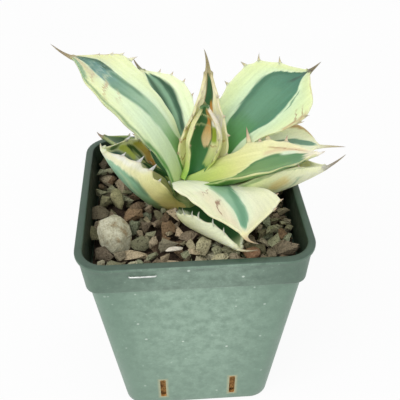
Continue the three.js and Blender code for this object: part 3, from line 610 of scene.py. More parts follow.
            patch([(0.2, -0.4), (0.5, -0.2), (1, -0.1)], [(0, -1.1), (1, -1.1)], (0.16, 1.1),
                  (216, 226, 196), face="inner", soft=0.12),
        ],
        "teeth": {1: [(0.5, 1.4, 0.6), (0.7, 1.4, 0.6)], -1: [(0.4, 2.2, 0.4), (0.52, 3.2, 1.2),
                  (0.61, 2.8, 2.2), (0.67, 3.2, 2.4), (0.8, 2.4, 0.2), (0.88, 1.6, -0.2)]},
        "toothTints": [(226, 232, 212), (222, 222, 206)],
        "spineTints": [(214, 216, 176), (186, 176, 140), (120, 104, 84)],
    },
    "leaf_rear": {
        "turn": 72, "sweep": 6, "rise": (38, 14), "cup": (45, 22), "twist": (0, 0), "length": 38,
        "width": 24, "widest": 0.6, "point": 0.72, "seat": 4.6, "height": 82, "spine": 6, "lift": 0.2,
        "ground": [(0, (200, 210, 150)), (0.5, cream), (1, white)],
    },
    "leaf_rear_left": {
        "turn": 119, "sweep": -6, "rise": (36, 12), "cup": (48, 24), "twist": (0, 4), "length": 33,
        "width": 21, "widest": 0.6, "point": 0.72, "seat": 4.8, "height": 80.6, "spine": 5.5, "lift": 0.2,
        "ground": [(0, (120, 146, 70)), (0.3, (170, 180, 100)), (0.6, cream), (1, cream)],
        "bands": [
            patch([(0, 0.96), (0.5, 0.86), (1, 0.3)], [(0, -0.3), (0.5, -0.42), (1, -0.2)], (-0.1, 0.97),
                  [(0.1, (48, 104, 50)), (0.5, (52, 114, 66)), (1, teal)]),
        ],
    },
    "leaf_rear_right": {
        "turn": 46, "sweep": 4, "rise": (32, 12), "cup": (50, 26), "twist": (0, -4), "length": 38,
        "width": 23, "widest": 0.6, "point": 0.72, "seat": 5, "height": 80.2, "spine": 5.5, "lift": 0.2,
        "ground": [(0, (190, 204, 140)), (0.5, cream), (1, white)],
    },
}


def sectionAxes(leaf, s):
    heading = math.radians(leaf["turn"] + leaf["sweep"] * s)
    slope = math.radians(mix(*leaf["rise"], s))
    roll = math.radians(mix(*leaf["twist"], s))
    east, north = math.cos(heading), math.sin(heading)
    along = Vector((math.cos(slope) * east, math.cos(slope) * north, math.sin(slope)))
    level = Vector((-north, east, 0))
    up = along.cross(level)
    return along, level * math.cos(roll) + up * math.sin(roll), up * math.cos(roll) - level * math.sin(roll)


def midribOf(leaf, steps=40):
    turn = math.radians(leaf["turn"])
    seat = Matrix.Rotation(turn, 3, "Z") @ Vector((leaf["seat"], leaf["aside"], 0))
    points = [seat + crown + Vector((0, 0, leaf["height"]))]
    for i in range(steps):
        points.append(points[-1] + sectionAxes(leaf, (i + 0.5) / steps)[0] * (leaf["length"] / steps))
    return points


def midribPoint(points, s):
    steps = len(points) - 1
    step = min(steps - 1, max(0, math.floor(s * steps)))
    return points[step].lerp(points[step + 1], s * steps - step)


def halfWidthAt(leaf, s, u):
    widest = leaf["widest"] - leaf["skew"] * ((u > 0) - (u < 0))
    swell = mix(leaf["neck"], 1, smoothRise(widest, s))
    past = max(0, (s - widest) / (1 - widest))
    half = leaf["width"] / 2 * swell * max(0, 1 - past * past) ** leaf["point"]
    if "trim" in leaf:
        side, place, spread, depth = leaf["trim"]
        half -= depth * (side * u > 0) * math.exp(-((s - place) / spread) ** 2)
    start, amount = leaf["pinch"]
    half *= 1 - amount * smoothRise(1 - start, s - start)
    return max(half, blade["spineBreadth"])


# A point of the leaf's skin: u runs from -1 to 1 across it, and face is 1 on the upper face, -1 below.
def bladePoint(leaf, axes, rib, s, u, face, bulge=0.0, ripple=0.0):
    _, across, inward = axes
    half = halfWidthAt(leaf, s, u)
    cup = math.radians(mix(*leaf["cup"], s)) or 1e-4
    bend = cup * u
    core = mix(blade["rootThickness"], blade["tipThickness"], s)
    thickness = blade["marginThickness"] + (core - blade["marginThickness"]) * (1 - u * u)
    near = min(1, half * (1 - abs(u)) / blade["edgeRound"])
    depth = thickness / 2 * (1 - face * math.sqrt(1 - (1 - near) ** 2)) - ripple
    outward = across * math.cos(bend) + inward * math.sin(bend)
    normal = inward * math.cos(bend) - across * math.sin(bend)
    middle = rib + across * (half * math.sin(bend) / cup) + inward * (half * (1 - math.cos(bend)) / cup)
    return middle + outward * math.copysign(bulge, u) - normal * depth, outward, half


def teethOf(leaf, chance):
    if "teeth" in leaf:
        return leaf["teeth"]
    made = {}
    for side in (1, -1):
        count = round(teeth["share"] * leaf["length"] / teeth["spacing"])
        made[side] = [(mix(*teeth["span"], (k + 0.25 + 0.5 * chance.random()) / count),
                       mix(*teeth["reach"], chance.random()), mix(*teeth["forward"], chance.random()))
                      for k in range(count)]
    return made


# The swelling under a tooth: its height and its spread along the margin.
def teatOf(tooth):
    if len(tooth) > 3:
        return tooth[3:]
    height = min(teeth["teatMost"], teeth["teatShare"] * tooth[1])
    return height, teeth["teatLength"] + teeth["teatGrowth"] * tooth[1]


# How far the swellings of a margin's teeth push it out at s.
def bulgeAt(leaf, side, s, margins):
    total = 0
    for tooth in margins[side]:
        height, spread = teatOf(tooth)
        total += height * math.exp(-(((s - tooth[0]) * leaf["length"]) / spread) ** 2)
    return total


def leafMesh(leaf, seed):
    bm = bmesh.new()
    layers = [bm.verts.layers.float_vector.new("blade"), bm.verts.layers.float_vector.new("skin"),
              bm.verts.layers.float.new("horn")]
    chance = random.Random(seed)
    ribs = midribOf(leaf)
    length = leaf["length"]
    margins = teethOf(leaf, chance)
    phase = chance.random() * 6
    around = blade["around"]
    angles = [2 * math.pi * (k + 0.5) / around for k in range(around)]
    start = -blade["rootDepth"] / length
    rows, notes = [], []
    for k in range(blade["rows"] + 1):
        s = mix(start, 1, 1 - (1 - k / blade["rows"]) ** blade["crowding"])
        axes = sectionAxes(leaf, s)
        rib = midribPoint(ribs, s)
        bulges = {side: bulgeAt(leaf, side, s, margins) for side in (1, -1)}
        row, note = [], []
        for angle in angles:
            u = math.cos(angle)
            face = 1 if angle < math.pi else -1
            bulge = bulges[1 if u > 0 else -1] * abs(u) ** teeth["teatEdge"]
            turn = s * length * blade["waveTurn"] + phase + (2 if u > 0 else 0)
            ripple = blade["wave"] * abs(u) ** 3 * math.sin(turn)
            ripple *= smoothRise(blade["waveStart"], s) * smoothRise(blade["waveEnd"], 1 - s)
            point, _, half = bladePoint(leaf, axes, rib, s, u, face, bulge, ripple)
            row.append(point)
            note.append(((u, s, face < 0), (u * half, s * length, face)))
        if k == 0:
            centre = sum(row, Vector()) / around
            row = [centre] * around
        rows.append(row)
        notes.append(note)
    along, across, inward = sectionAxes(leaf, 1)
    for k in range(1, blade["spineRows"] + 1):
        share = k / blade["spineRows"]
        reach, curl = share * leaf["spine"], share * share * leaf["spine"]
        slim = share ** blade["spineTaper"]
        thin = math.sqrt(1 - share ** blade["spinePoint"])
        breadth = mix(blade["spineBreadth"], blade["spineTip"], slim) * thin
        depth = mix(blade["spineDepth"], blade["spineTip"], slim) * thin
        centre = ribs[-1] + along * reach + inward * (leaf["lift"] * curl - blade["tipThickness"] / 2)
        centre += across * (leaf["veer"] * curl)
        rows.append([centre + inward * (math.sin(a) * depth) + across * (math.cos(a) * breadth)
                     for a in angles])
        s = 1 + reach / length
        notes.append([((math.cos(a), s, a > math.pi), (math.cos(a), s * length, 1)) for a in angles])
    for vert, row, column in tubeFromRows(bm, rows):
        vert[layers[0]], vert[layers[1]] = notes[row][column]
    for side in (1, -1):
        for tooth in margins[side]:
            addTooth(bm, layers, leaf, ribs, side, tooth)
    bmesh.ops.remove_doubles(bm, verts=bm.verts, dist=1e-3)
    bmesh.ops.recalc_face_normals(bm, faces=bm.faces)
    return bm


def addTooth(bm, layers, leaf, ribs, side, tooth):
    s, reach, forward = tooth[:3]
    axes = sectionAxes(leaf, s)
    along, _, inward = axes
    root, outward, half = bladePoint(leaf, axes, midribPoint(ribs, s), s, side * 0.999, 1)
    outward = outward * side
    root += outward * (teatOf(tooth)[0] - teeth["sunk"]) - inward * teeth["under"]
    sides, steps = teeth["sides"], teeth["steps"]
    stout = mix(*teeth["radius"], min(1, reach / teeth["stoutAt"]))
    rows = []
    for k in range(steps + 1):
        t = k / steps
        centre = root + outward * ((reach + teeth["sunk"]) * t)
        centre += along * (forward * t ** teeth["sweep"]) + inward * (teeth["bow"] * t * t)
        radius = stout * (1 - t) ** teeth["taper"] + teeth["tip"] * (k < steps)
        rows.append([centre + along * (teeth["breadth"] * radius * math.cos(a))
                     + inward * (teeth["depth"] * radius * math.sin(a))
                     for a in (2 * math.pi * j / sides for j in range(sides))])
    bladeLayer, skinLayer, hornLayer = layers
    for vert, row, column in tubeFromRows(bm, rows):
        vert[bladeLayer] = (side, s, 0)
        vert[skinLayer] = (side * (half + row), s * leaf["length"], column)
        vert[hornLayer] = 0.15 + 0.8 * row / steps


# A band's edge as a curve over the leaf's length, from -1 to 1.
def edgeCurve(tree, s, points):
    node = tree.nodes.new("ShaderNodeFloatCurve")
    node.mapping.extend = "HORIZONTAL"
    curve = node.mapping.curves[0]
    points = sorted(points)
    if len(points) == 1:
        points = [points[0], (points[0][0] + 0.5, points[0][1])]
    for index, (x, y) in enumerate(points):
        place = (min(1, max(0, x)), (y + 1) / 2)
        if index < 2:
            curve.points[index].location = place
        else:
            curve.points.new(*place)
    node.mapping.update()
    feed(tree, node.inputs["Value"], s)
    return calc(tree, "MULTIPLY_ADD", node.outputs[0], 2.0, -1.0)


def bandMask(tree, u, s, band, soft):
    topEdge, lowEdge = edgeCurve(tree, s, band["top"]), edgeCurve(tree, s, band["low"])
    above = ease(tree, u, calc(tree, "SUBTRACT", lowEdge, soft), calc(tree, "ADD", lowEdge, soft))
    below = ease(tree, u, calc(tree, "SUBTRACT", topEdge, soft), calc(tree, "ADD", topEdge, soft), 1.0, 0.0)
    first, last = band["span"]
    fade = 0.03
    begin = ease(tree, s, first - fade, first + fade)
    end = ease(tree, s, last - fade, last + fade, 1.0, 0.0)
    return times(tree, above, below, begin, end, band["share"])


# Scales are per millimetre of the leaf's own skin. Shares say how strongly a layer covers what lies below.
leafSkin = {
    "broad": 0.16, "streak": 0.9, "speck": 2.4, "sideways": (0.16, 0.14), "lengthways": 0.1,
    "rimShare": 0.4, "haloWidth": 0.1, "haloSoft": 0.2, "streakShare": 0.3, "blotchShare": 0.25,
    "marginShare": 0.22, "marginTint": (172, 132, 98), "roughness": (0.42, 0.58), "specular": 0.35,
    "glow": 0.45, "glowColors": (1, 1, 0.6), "glowDepth": 0.005, "bump": 0.00012,
}


def leafMaterial(name, leaf):
    material, tree, shader = startMaterial(name)
    u, s, outer = split(tree, attribute(tree, "blade"))
    skin = attribute(tree, "skin")
    horn = attribute(tree, "horn", "Fac")
    broad = grain(tree, skin, leafSkin["broad"], 2, 0.5, (1, 0.5, 3))
    streak = grain(tree, skin, leafSkin["streak"], 3, 0.6, (1, 0.07, 3))
    speck = grain(tree, skin, leafSkin["speck"], 4, 0.6, (1, 0.5, 3))
    # the bands' edges waver a little, sideways and lengthways
    wobble = calc(tree, "ADD", sway(tree, broad, leafSkin["sideways"][0]),
                  sway(tree, streak, leafSkin["sideways"][1]))
    uNow = calc(tree, "ADD", u, wobble)
    sNow = calc(tree, "ADD", s, sway(tree, streak, leafSkin["lengthways"]))
    color = blend(tree, outer, ramp(tree, s, leaf["ground"]),
                  ramp(tree, s, leaf.get("outerGround", leaf["ground"])))
    rim = ease(tree, calc(tree, "ABSOLUTE", uNow), 0.5, 0.95)
    rim = times(tree, rim, ease(tree, s, 0.1, 0.4), leafSkin["rimShare"])
    color = blend(tree, rim, color, paint(*leaf["rim"]))
    for band in leaf["bands"]:
        if band["halo"]:
            width = leafSkin["haloWidth"]
            wide = {**band, "top": [(x, y + width) for x, y in band["top"]],
                    "low": [(x, y - width) for x, y in band["low"]], "share": band["halo"]}
            color = blend(tree, bandMask(tree, u, s, wide, leafSkin["haloSoft"]), color, paint(*mint))
        mask = bandMask(tree, uNow, sNow, band, band["soft"])
        if band["face"] == "inner":
            mask = times(tree, mask, calc(tree, "SUBTRACT", 1.0, outer))
        elif band["face"] == "outer":
            mask = times(tree, mask, outer)
        color = blend(tree, mask, color, ramp(tree, s, band["tint"]))
    # fine lengthwise streaks and faint blotches
    lines = ramp(tree, streak, [(0.3, (200, 204, 196)), (0.7, (255, 255, 255))])
    color = blend(tree, leafSkin["streakShare"], color, lines, "MULTIPLY")
    blotches = ramp(tree, speck, [(0.35, (214, 216, 200)), (0.6, (255, 255, 255))])
    color = blend(tree, leafSkin["blotchShare"], color, blotches, "MULTIPLY")
    # thin brown line on the margin
    margin = ease(tree, calc(tree, "ABSOLUTE", u), 0.972, 0.993)
    margin = times(tree, margin, ease(tree, speck, 0.35, 0.6), ease(tree, s, 0.15, 0.4),
                   leafSkin["marginShare"])
    color = blend(tree, margin, color, paint(*leafSkin["marginTint"]))
    toothColor = ramp(tree, horn, list(zip((0.24, 0.9), leaf["toothTints"])))
    color = blend(tree, ease(tree, horn, 0.1, 0.5), color, toothColor)
    # the spine's colour runs from its root to its tip
    reach = leaf["length"] / leaf["spine"]
    onSpine = calc(tree, "MULTIPLY_ADD", s, reach, -reach)
    spineColor = ramp(tree, onSpine, list(zip((0, 0.4, 1), leaf["spineTints"])))
    color = blend(tree, ease(tree, sNow, 0.972, 1.006), color, spineColor)
    feed(tree, shader.inputs["Base Color"], color)
    feed(tree, shader.inputs["Roughness"], ease(tree, speck, 0.3, 0.7, *leafSkin["roughness"]))
    shader.inputs["Specular IOR Level"].default_value = leafSkin["specular"]
    shader.inputs["Subsurface Weight"].default_value = leafSkin["glow"]
    shader.inputs["Subsurface Radius"].default_value = leafSkin["glowColors"]
    shader.inputs["Subsurface Scale"].default_value = leafSkin["glowDepth"]
    addBump(tree, shader, calc(tree, "ADD", streak, times(tree, speck, 0.3)), leafSkin["bump"], 0.6)
    return material


leafTrees = []
for index, (name, given) in enumerate(leaves.items()):
    leaf = {**plainLeaf, **given}
    bm = leafMesh(leaf, blade["seed"] + index)
    leafTrees.append(BVHTree.FromBMesh(bm))
    addPiece(name + "_blade", bm, leafMaterial(name + "_skin", leaf), name, "leaf_variegated")
print("leaves:", len(leaves))


def stemMaterial():
    material, tree, shader = startMaterial("stemSkin", roughness=0.7)
    place = objectPlace(tree)
    rings = grain(tree, place, 0.5, 3, 0.6, (0.4, 0.4, 2))
    color = ramp(tree, rings, [(0.3, (92, 112, 58)), (0.55, (128, 144, 82)), (0.75, (150, 140, 92))])
    feed(tree, shader.inputs["Base Color"], color)
    addBump(tree, shader, rings, 0.0003, 0.6)
    return material


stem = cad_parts["stem"]
stem.data.materials.clear()
stem.data.materials.append(stemMaterial())


pot = {
    "height": 87.3, "lipWidth": 82, "lipDepth": 1.5, "lipInset": 2.8, "bandHeight": 13.4,
    "bandTop": 80, "bandBottom": 76.1, "bodyTop": 74.7, "base": 59.1, "wall": 1.3, "floor": 1.6,
    "lipCorner": 11, "bandTopCorner": 9.5, "bandBottomCorner": 4.5, "bodyTopCorner": 6, "baseCorner": 7.5,
    "cornerSteps": 10, "slotSpacing": 28, "slotWidth": 2.2, "slotBottom": 4.8, "slotTop": 16.8,
    "slotReach": 5, "slotDepth": 9.5, "slotSteps": 10,
    "wallPoints": (-0.97, -0.8, -0.5, -0.2, 0.2, 0.5, 0.8, 0.97),
}
bandFoot = pot["height"] - pot["bandHeight"]
lipFoot = pot["height"] - pot["lipDepth"]


def bodyHalf(z):
    return mix(pot["base"], pot["bodyTop"], z / bandFoot) / 2


def bandHalf(z):
    return mix(pot["bandBottom"], pot["bandTop"], (z - bandFoot) / (lipFoot - bandFoot)) / 2


def bodyCorner(z):
    return mix(pot["baseCorner"], pot["bodyTopCorner"], z / bandFoot)


def innerRow(z, gap=0.0):
    mouth = pot["lipWidth"] / 2 - pot["lipInset"]
    if z >= bandFoot:
        share = (z - bandFoot) / (pot["height"] - bandFoot)
        half = mix(pot["bandBottom"] / 2 - pot["wall"], mouth, share)
        return half - gap, z, mix(pot["bandBottomCorner"], pot["lipCorner"] - pot["lipInset"], share)
    return bodyHalf(z) - pot["wall"] - gap, z, bodyCorner(z) - pot["wall"]


# One ring of a rounded square, anticlockwise, with extra points beside the corners and along the walls.
def squareRing(half, z, corner):
    corner = min(corner, half)
    flat = half - corner
    ring = []
    for side in range(4):
        turn = Matrix.Rotation(side * math.pi / 2, 3, "Z")
        for k in range(pot["cornerSteps"] + 1):
            angle = -math.pi / 2 + (k / pot["cornerSteps"]) * math.pi / 2
            x, y = flat + corner * math.cos(angle), -flat + corner * math.sin(angle)
            ring.append(turn @ Vector((x, y, z)))
        for share in pot["wallPoints"]:
            ring.append(turn @ Vector((half, flat * share, z)))
    return ring


# The pot's wall from the middle of its underside, up the outside, over the lip and down to its floor.
def potRows():
    lip, mouth = pot["lipWidth"] / 2, pot["lipWidth"] / 2 - pot["lipInset"]
    lipCorner, mouthCorner = pot["lipCorner"], pot["lipCorner"] - pot["lipInset"]
    base = pot["base"] / 2
    baseCorner = pot["baseCorner"]
    rows = [(0, 0, 0), (base - 4, 0, 6), (base - 1, 0, baseCorner), (base - 0.5, 0.12, baseCorner),
            (base - 0.15, 0.42, baseCorner), (bodyHalf(0.95), 0.95, baseCorner)]
    rows += [(bodyHalf(z), z, bodyCorner(z)) for z in (4, 12, 20, 34, 48, 62, 70, 72.8)]
    bandAt = bandHalf(bandFoot)
    top = bodyHalf(73.3)
    rows += [(top, 73.3, 5.8), (top + 0.2, 73.62, 5.4), (bandAt - 0.25, 73.85, 4.8),
             (bandAt - 0.05, 74.05, 4.5), (bandHalf(74.5), 74.5, 4.6)]
    for z in (77, 80, 83):
        share = (z - bandFoot) / (lipFoot - bandFoot)
        rows.append((bandHalf(z), z, mix(pot["bandBottomCorner"], pot["bandTopCorner"], share)))
    rows += [(bandHalf(84.9), 84.9, 9.4), (bandHalf(85.3) + 0.15, 85.3, 9.7),
             (lip - 0.3, lipFoot - 0.15, 10.8), (lip - 0.06, lipFoot + 0.08, lipCorner),
             (lip, lipFoot + 0.4, lipCorner), (lip, 86.85, lipCorner), (lip - 0.1, 87.1, lipCorner),
             (lip - 0.35, 87.26, lipCorner), (lip - 0.6, 87.3, lipCorner), (mouth + 0.6, 87.3, mouthCorner),
             (mouth + 0.3, 87.24, mouthCorner), (mouth + 0.08, 87.05, mouthCorner)]
    rows += [innerRow(z) for z in (86.6, 82, 77, bandFoot, 72.7, 60, 40, 20, 6)]
    rows += [(bodyHalf(2.4) - pot["wall"], 2.4, 6), (base - 2.2, pot["floor"], 5), (0, pot["floor"], 0)]
    return rows


# A closed solid from rings of a rounded square: each ring is pulled out of the one before it.
def tubSolid(rows):
    bm = bmesh.new()
    ring = None
    for half, z, corner in rows:
        points = squareRing(half, z, corner)
        if ring is None:
            ring = bmesh.ops.create_circle(bm, cap_ends=False, segments=len(points), radius=1)["verts"]
            ring = sorted(ring, key=lambda vert: math.atan2(vert.co.y, vert.co.x))
            edges = list(bm.edges)
        else:
            made = bmesh.ops.extrude_edge_only(bm, edges=edges)["geom"]
            fresh = [item for item in made if isinstance(item, bmesh.types.BMVert)]
            edges = [item for item in made if isinstance(item, bmesh.types.BMEdge)
                     and all(vert in fresh for vert in item.verts)]
            partner = {}
            for vert in fresh:
                for edge in vert.link_edges:
                    other = edge.other_vert(vert)
                    if other in set(ring):
                        partner[other] = vert
            ring = [partner[vert] for vert in ring]
        for vert, point in zip(ring, points):
            vert.co = point
    bmesh.ops.remove_doubles(bm, verts=bm.verts, dist=1e-4)
    bmesh.ops.recalc_face_normals(bm, faces=bm.faces)
    return bm


# A closed slot shape standing in the XZ plane, its depth along Y.
def addSlot(bm, turn, at):
    radius = pot["slotWidth"] / 2
    front = -pot["base"] / 2 - pot["slotReach"]
    steps = pot["slotSteps"]
    points = []
    for first, middle in ((0, pot["slotTop"] - radius), (math.pi, pot["slotBottom"] + radius)):
        points += [Vector((radius * math.cos(a), front, middle + radius * math.sin(a)))
                   for a in (first + math.pi * k / steps for k in range(steps + 1))]
    verts = [bm.verts.new(point) for point in points]
    face = bm.faces.new(verts)
    made = bmesh.ops.extrude_face_region(bm, geom=[face])["geom"]
    moved = [item for item in made if isinstance(item, bmesh.types.BMVert)]
    bmesh.ops.translate(bm, verts=moved, vec=(0, pot["slotDepth"], 0))
    both = verts + moved
    bmesh.ops.translate(bm, verts=both, vec=(at, 0, 0))
    bmesh.ops.rotate(bm, verts=both, cent=(0, 0, 0), matrix=Matrix.Rotation(turn, 3, "Z"))


def cutSolid(bm, cutter):
    objects = []
    for part in (bm, cutter):
        mesh = bpy.data.meshes.new("slotCut")
        part.to_mesh(mesh)
        part.free()
        objects.append(bpy.data.objects.new("slotCut", mesh))
        scene.collection.objects.link(objects[-1])
    body, knife = objects
    cut = body.modifiers.new("slots", "BOOLEAN")
    cut.operation = "DIFFERENCE"
    cut.solver = "EXACT"
    cut.object = knife
    made = bpy.data.meshes.new_from_object(body.evaluated_get(bpy.context.evaluated_depsgraph_get()))
    result = bmesh.new()
    result.from_mesh(made)
    bpy.data.objects.remove(body)
    bpy.data.objects.remove(knife)
    return result


def potMesh():
    bm = tubSolid(potRows())
    cutter = bmesh.new()
    for side in range(4):
        for offset in (-pot["slotSpacing"] / 2, pot["slotSpacing"] / 2):
            addSlot(cutter, side * math.pi / 2, offset)
    bmesh.ops.recalc_face_normals(cutter, faces=cutter.faces)
    bm = cutSolid(bm, cutter)
    bmesh.ops.recalc_face_normals(bm, faces=bm.faces)
    return bm


# How far a point lies outside the rim band's rounded square, below zero inside it.
def bandEdge(tree, x, y, z):
    slope = (bandHalf(lipFoot) - bandHalf(bandFoot)) / (lipFoot - bandFoot)
    growth = (pot["bandTopCorner"] - pot["bandBottomCorner"]) / (lipFoot - bandFoot)
    half = calc(tree, "MULTIPLY_ADD", z, slope, bandHalf(bandFoot) - slope * bandFoot)
    corner = calc(tree, "MULTIPLY_ADD", z, growth, pot["bandBottomCorner"] - growth * bandFoot)
    flat = calc(tree, "SUBTRACT", half, corner)
    squares = []
    for side in (x, y):
        past = calc(tree, "MAXIMUM", calc(tree, "SUBTRACT", calc(tree, "ABSOLUTE", side), flat), 0.0)
        squares.append(calc(tree, "MULTIPLY", past, past))
    return calc(tree, "SUBTRACT", calc(tree, "SQRT", calc(tree, "ADD", *squares)), corner)


# How far a point lies outside the nearest drain slot's outline.
def slotEdge(tree, x, y, z):
    beside = []
    for side in (x, y):
        offset = calc(tree, "SUBTRACT", calc(tree, "ABSOLUTE", side), pot["slotSpacing"] / 2)
        beside.append(calc(tree, "SUBTRACT", calc(tree, "ABSOLUTE", offset), pot["slotWidth"] / 2))
    ends = calc(tree, "MAXIMUM", calc(tree, "SUBTRACT", pot["slotBottom"], z),
                calc(tree, "SUBTRACT", z, pot["slotTop"]))
    return calc(tree, "MAXIMUM", calc(tree, "MINIMUM", *beside), ends)


potSkin = {
    "cloud": 0.05, "blotch": 0.26, "fine": 1.3, "dots": 0.16, "film": (0.25, 0.7), "bandFilm": 0.74,
    "spotShare": 0.5, "dotShare": 0.75, "dustShare": 0.2, "roughness": (0.34, 0.55), "bump": 0.00006,
}


def potMaterial():
    material, tree, shader = startMaterial("potPlastic")
    place = objectPlace(tree)
    x, y, z = split(tree, place)
    cloud = grain(tree, place, potSkin["cloud"], 4, 0.6)
    blotch = grain(tree, place, potSkin["blotch"], 6, 0.7)
    fine = grain(tree, place, potSkin["fine"], 5, 0.7)
    body = ramp(tree, cloud, [(0.3, (85, 114, 96)), (0.7, (96, 125, 107))])
    band = ease(tree, z, bandFoot - 0.2, bandFoot + 0.2)
    # painted shade: the rim band gets a darker copy of the plastic
    body = blend(tree, band, body, ramp(tree, cloud, [(0.3, (60, 86, 70)), (0.7, (71, 98, 81))]))
    # a pale lime film, thicker in the middle of a wall and higher up, with spots and dots in it; its
    # fall-off across x is partly painted shade, darkening the sides of the front and back and the left and
    # right walls
    middle = times(tree, ease(tree, calc(tree, "ABSOLUTE", x), 8.0, 34.0, 1.0, 0.3),
                   ease(tree, z, 0.0, 50.0, 0.6, 1.0))
    lime = times(tree, ease(tree, blotch, 0.3, 0.68, *potSkin["film"]), middle,
                 ease(tree, band, 0.0, 1.0, 1.0, potSkin["bandFilm"]))
    color = blend(tree, lime, body, paint(158, 184, 165))
    spots = times(tree, ease(tree, fine, 0.6, 0.7), ease(tree, blotch, 0.46, 0.58), middle,
                  potSkin["spotShare"])
    color = blend(tree, spots, color, paint(202, 218, 204))
    dots = ease(tree, cells(tree, place, potSkin["dots"]), 0.05, 0.1, 1.0, 0.0)
    color = blend(tree, times(tree, dots, middle, potSkin["dotShare"]), color, paint(214, 226, 214))
    # the drain slots: a stain round them and soil inside
    slot = slotEdge(tree, x, y, z)
    stain = times(tree, ease(tree, slot, 0.1, 1.5, 0.75, 0.0), ease(tree, fine, 0.3, 0.6, 0.6, 1.0))
    color = blend(tree, stain, color, paint(176, 172, 132))
    color = blend(tree, ease(tree, slot, 0.0, 0.12, 1.0, 0.0), color,
                  ramp(tree, fine, [(0.35, (92, 64, 36)), (0.55, (190, 144, 84))]))
    # painted shade on the inner wall below the lip, and the lip's top darker
    edge = bandEdge(tree, x, y, z)
    inside = times(tree, ease(tree, edge, -1.1, -0.7, 1.0, 0.0), ease(tree, z, 74.6, 75.2))
    color = blend(tree, inside, color, ramp(tree, z, [(0, (36, 50, 38)), (1, (38, 52, 40))]))
    lip = times(tree, ease(tree, z, 86.9, 87.15), 0.95)
    color = blend(tree, lip, color, ramp(tree, blotch, [(0.3, (48, 68, 56)), (0.7, (60, 82, 68))]))
    dust = ramp(tree, fine, [(0.3, (196, 196, 196)), (0.7, (255, 255, 255))])
    color = blend(tree, potSkin["dustShare"], color, dust, "MULTIPLY")
    feed(tree, shader.inputs["Base Color"], color)
    feed(tree, shader.inputs["Roughness"], ease(tree, blotch, 0.3, 0.7, *potSkin["roughness"]))
    addBump(tree, shader, calc(tree, "ADD", fine, times(tree, cloud, 2.0)), potSkin["bump"], 0.5)
    return material


addPiece("pot_tub", potMesh(), potMaterial(), "pot", "pot_plastic", sharpAngle=32)
print("pot")


staple = {"x": -18.2, "z": 82.7, "crown": 9.5, "wire": 0.6, "leg": 4, "bend": 0.5, "proud": 0.3, "bow": 0.06,
          "bendSteps": 5}


def stapleMesh():
    bm = bmesh.new()
    face = -bandHalf(staple["z"]) - staple["proud"] - staple["wire"] / 2
    half = (staple["crown"] - staple["wire"]) / 2
    bend = staple["bend"]
    end = face + staple["leg"] - staple["proud"]
    path = [Vector((-half, end, 0)), Vector((-half, face + 3, 0))]
    steps = staple["bendSteps"]
    for side in (-1, 1):
        arc = [Vector((side * (half - bend + bend * math.cos(a)), face + bend - bend * math.sin(a), 0))
               for a in (math.pi / 2 * k / steps for k in range(steps + 1))]
        path += arc if side < 0 else arc[::-1]
        if side < 0:
            path += [Vector((half * k, face - staple["bow"] * (1 - k * k), 0)) for k in (-0.6, 0, 0.6)]
    path += [Vector((half, face + 3, 0)), Vector((half, end, 0))]
    place = Vector((staple["x"], 0, staple["z"]))
    wireTube(bm, [point + place for point in path], staple["wire"] / 2)
    return bm


def stapleMaterial():
    material, tree, shader = startMaterial("stapleSteel", roughness=0.32)
    place = objectPlace(tree)
    scratch = grain(tree, place, 3, 3, 0.6, (0.2, 1, 1))
    steel = ramp(tree, scratch, [(0.3, (186, 190, 186)), (0.7, (236, 238, 234))])
    feed(tree, shader.inputs["Base Color"], steel)
    feed(tree, shader.inputs["Roughness"], ease(tree, scratch, 0.3, 0.7, 0.25, 0.45))
    shader.inputs["Metallic"].default_value = 0.8
    addBump(tree, shader, scratch, 0.00002, 0.4)
    return material


addPiece("staple_wire", stapleMesh(), stapleMaterial(), "rim_staple", "staple_steel")


# The radii say what share of the stones lies between which sizes.
grit = {
    "level": 78.4, "bedTop": 74.6, "gap": 0.4, "spread": 36.6, "heap": 1.6, "overlap": 0.84,
    "clearAbove": 0.45, "clearBeside": 0.95, "crownRoom": 6, "jitter": (0.88, 1.14),
    "seed": 41, "tries": 12, "count": 700, "cell": 9,
    "radii": [(0.3, 2.6, 3.6), (0.7, 1.8, 2.6), (1, 1.1, 1.8)],
    "shapes": 18, "corners": 10, "swell": 1.26, "chunkSwell": 0.62, "chunkLift": 0.12,
}
# The chunks that stand out on the surface: place, size, turn and tone (a place on gritColors).
chunks = [
    ((-23.1, -2.6), (11.6, 5.2, 5.4), 12, 0.03), ((-21.2, -9.6), (4.2, 4.6, 7), 10, 0.6),
    ((-17, -9.4), (4.8, 4.6, 4.6), 30, 0.2), ((-19.3, -18.6), (8, 5.6, 5.2), 4, 0.5),
    ((-34, -1.6), (7, 6, 5), -10, 0.3), ((-33.6, 7), (7.2, 5, 4.6), 8, 0.42),
    ((-20.4, 3.9), (5.6, 4.6, 4.4), 30, 0.12), ((-9.4, -11.8), (5.6, 6.4, 6), 70, 0),
    ((-4.9, -13.4), (5, 4.8, 5), 20, 0.8), ((-0.9, -17.2), (7.4, 5.4, 5.6), -12, 0.2),
    ((-32, -23.4), (7.6, 5, 5.2), -34, 0.22), ((-21.2, -25.6), (9, 3.6, 3.6), -6, 0.78),
    ((-15, -24.6), (8, 3, 3.6), 52, 0.56), ((-9.6, -20.6), (7.2, 6, 5), 8, 0.9),
    ((-13.4, -30.4), (5.4, 5, 4.8), 6, 0.8), ((-6.2, -30.6), (6.8, 5, 4.8), -6, 0.82),
    ((-28.2, -30), (5.4, 4.4, 4.4), 40, 0.5), ((-22, -31.2), (5.4, 4, 4), 0, 1),
    ((-36, -11.6), (4, 8, 4.6), 4, 0.4), ((1.8, -29.6), (7, 5.4, 5), 20, 0.9),
    ((9.4, -29.8), (6.4, 5.2, 5), -20, 0.7),
]
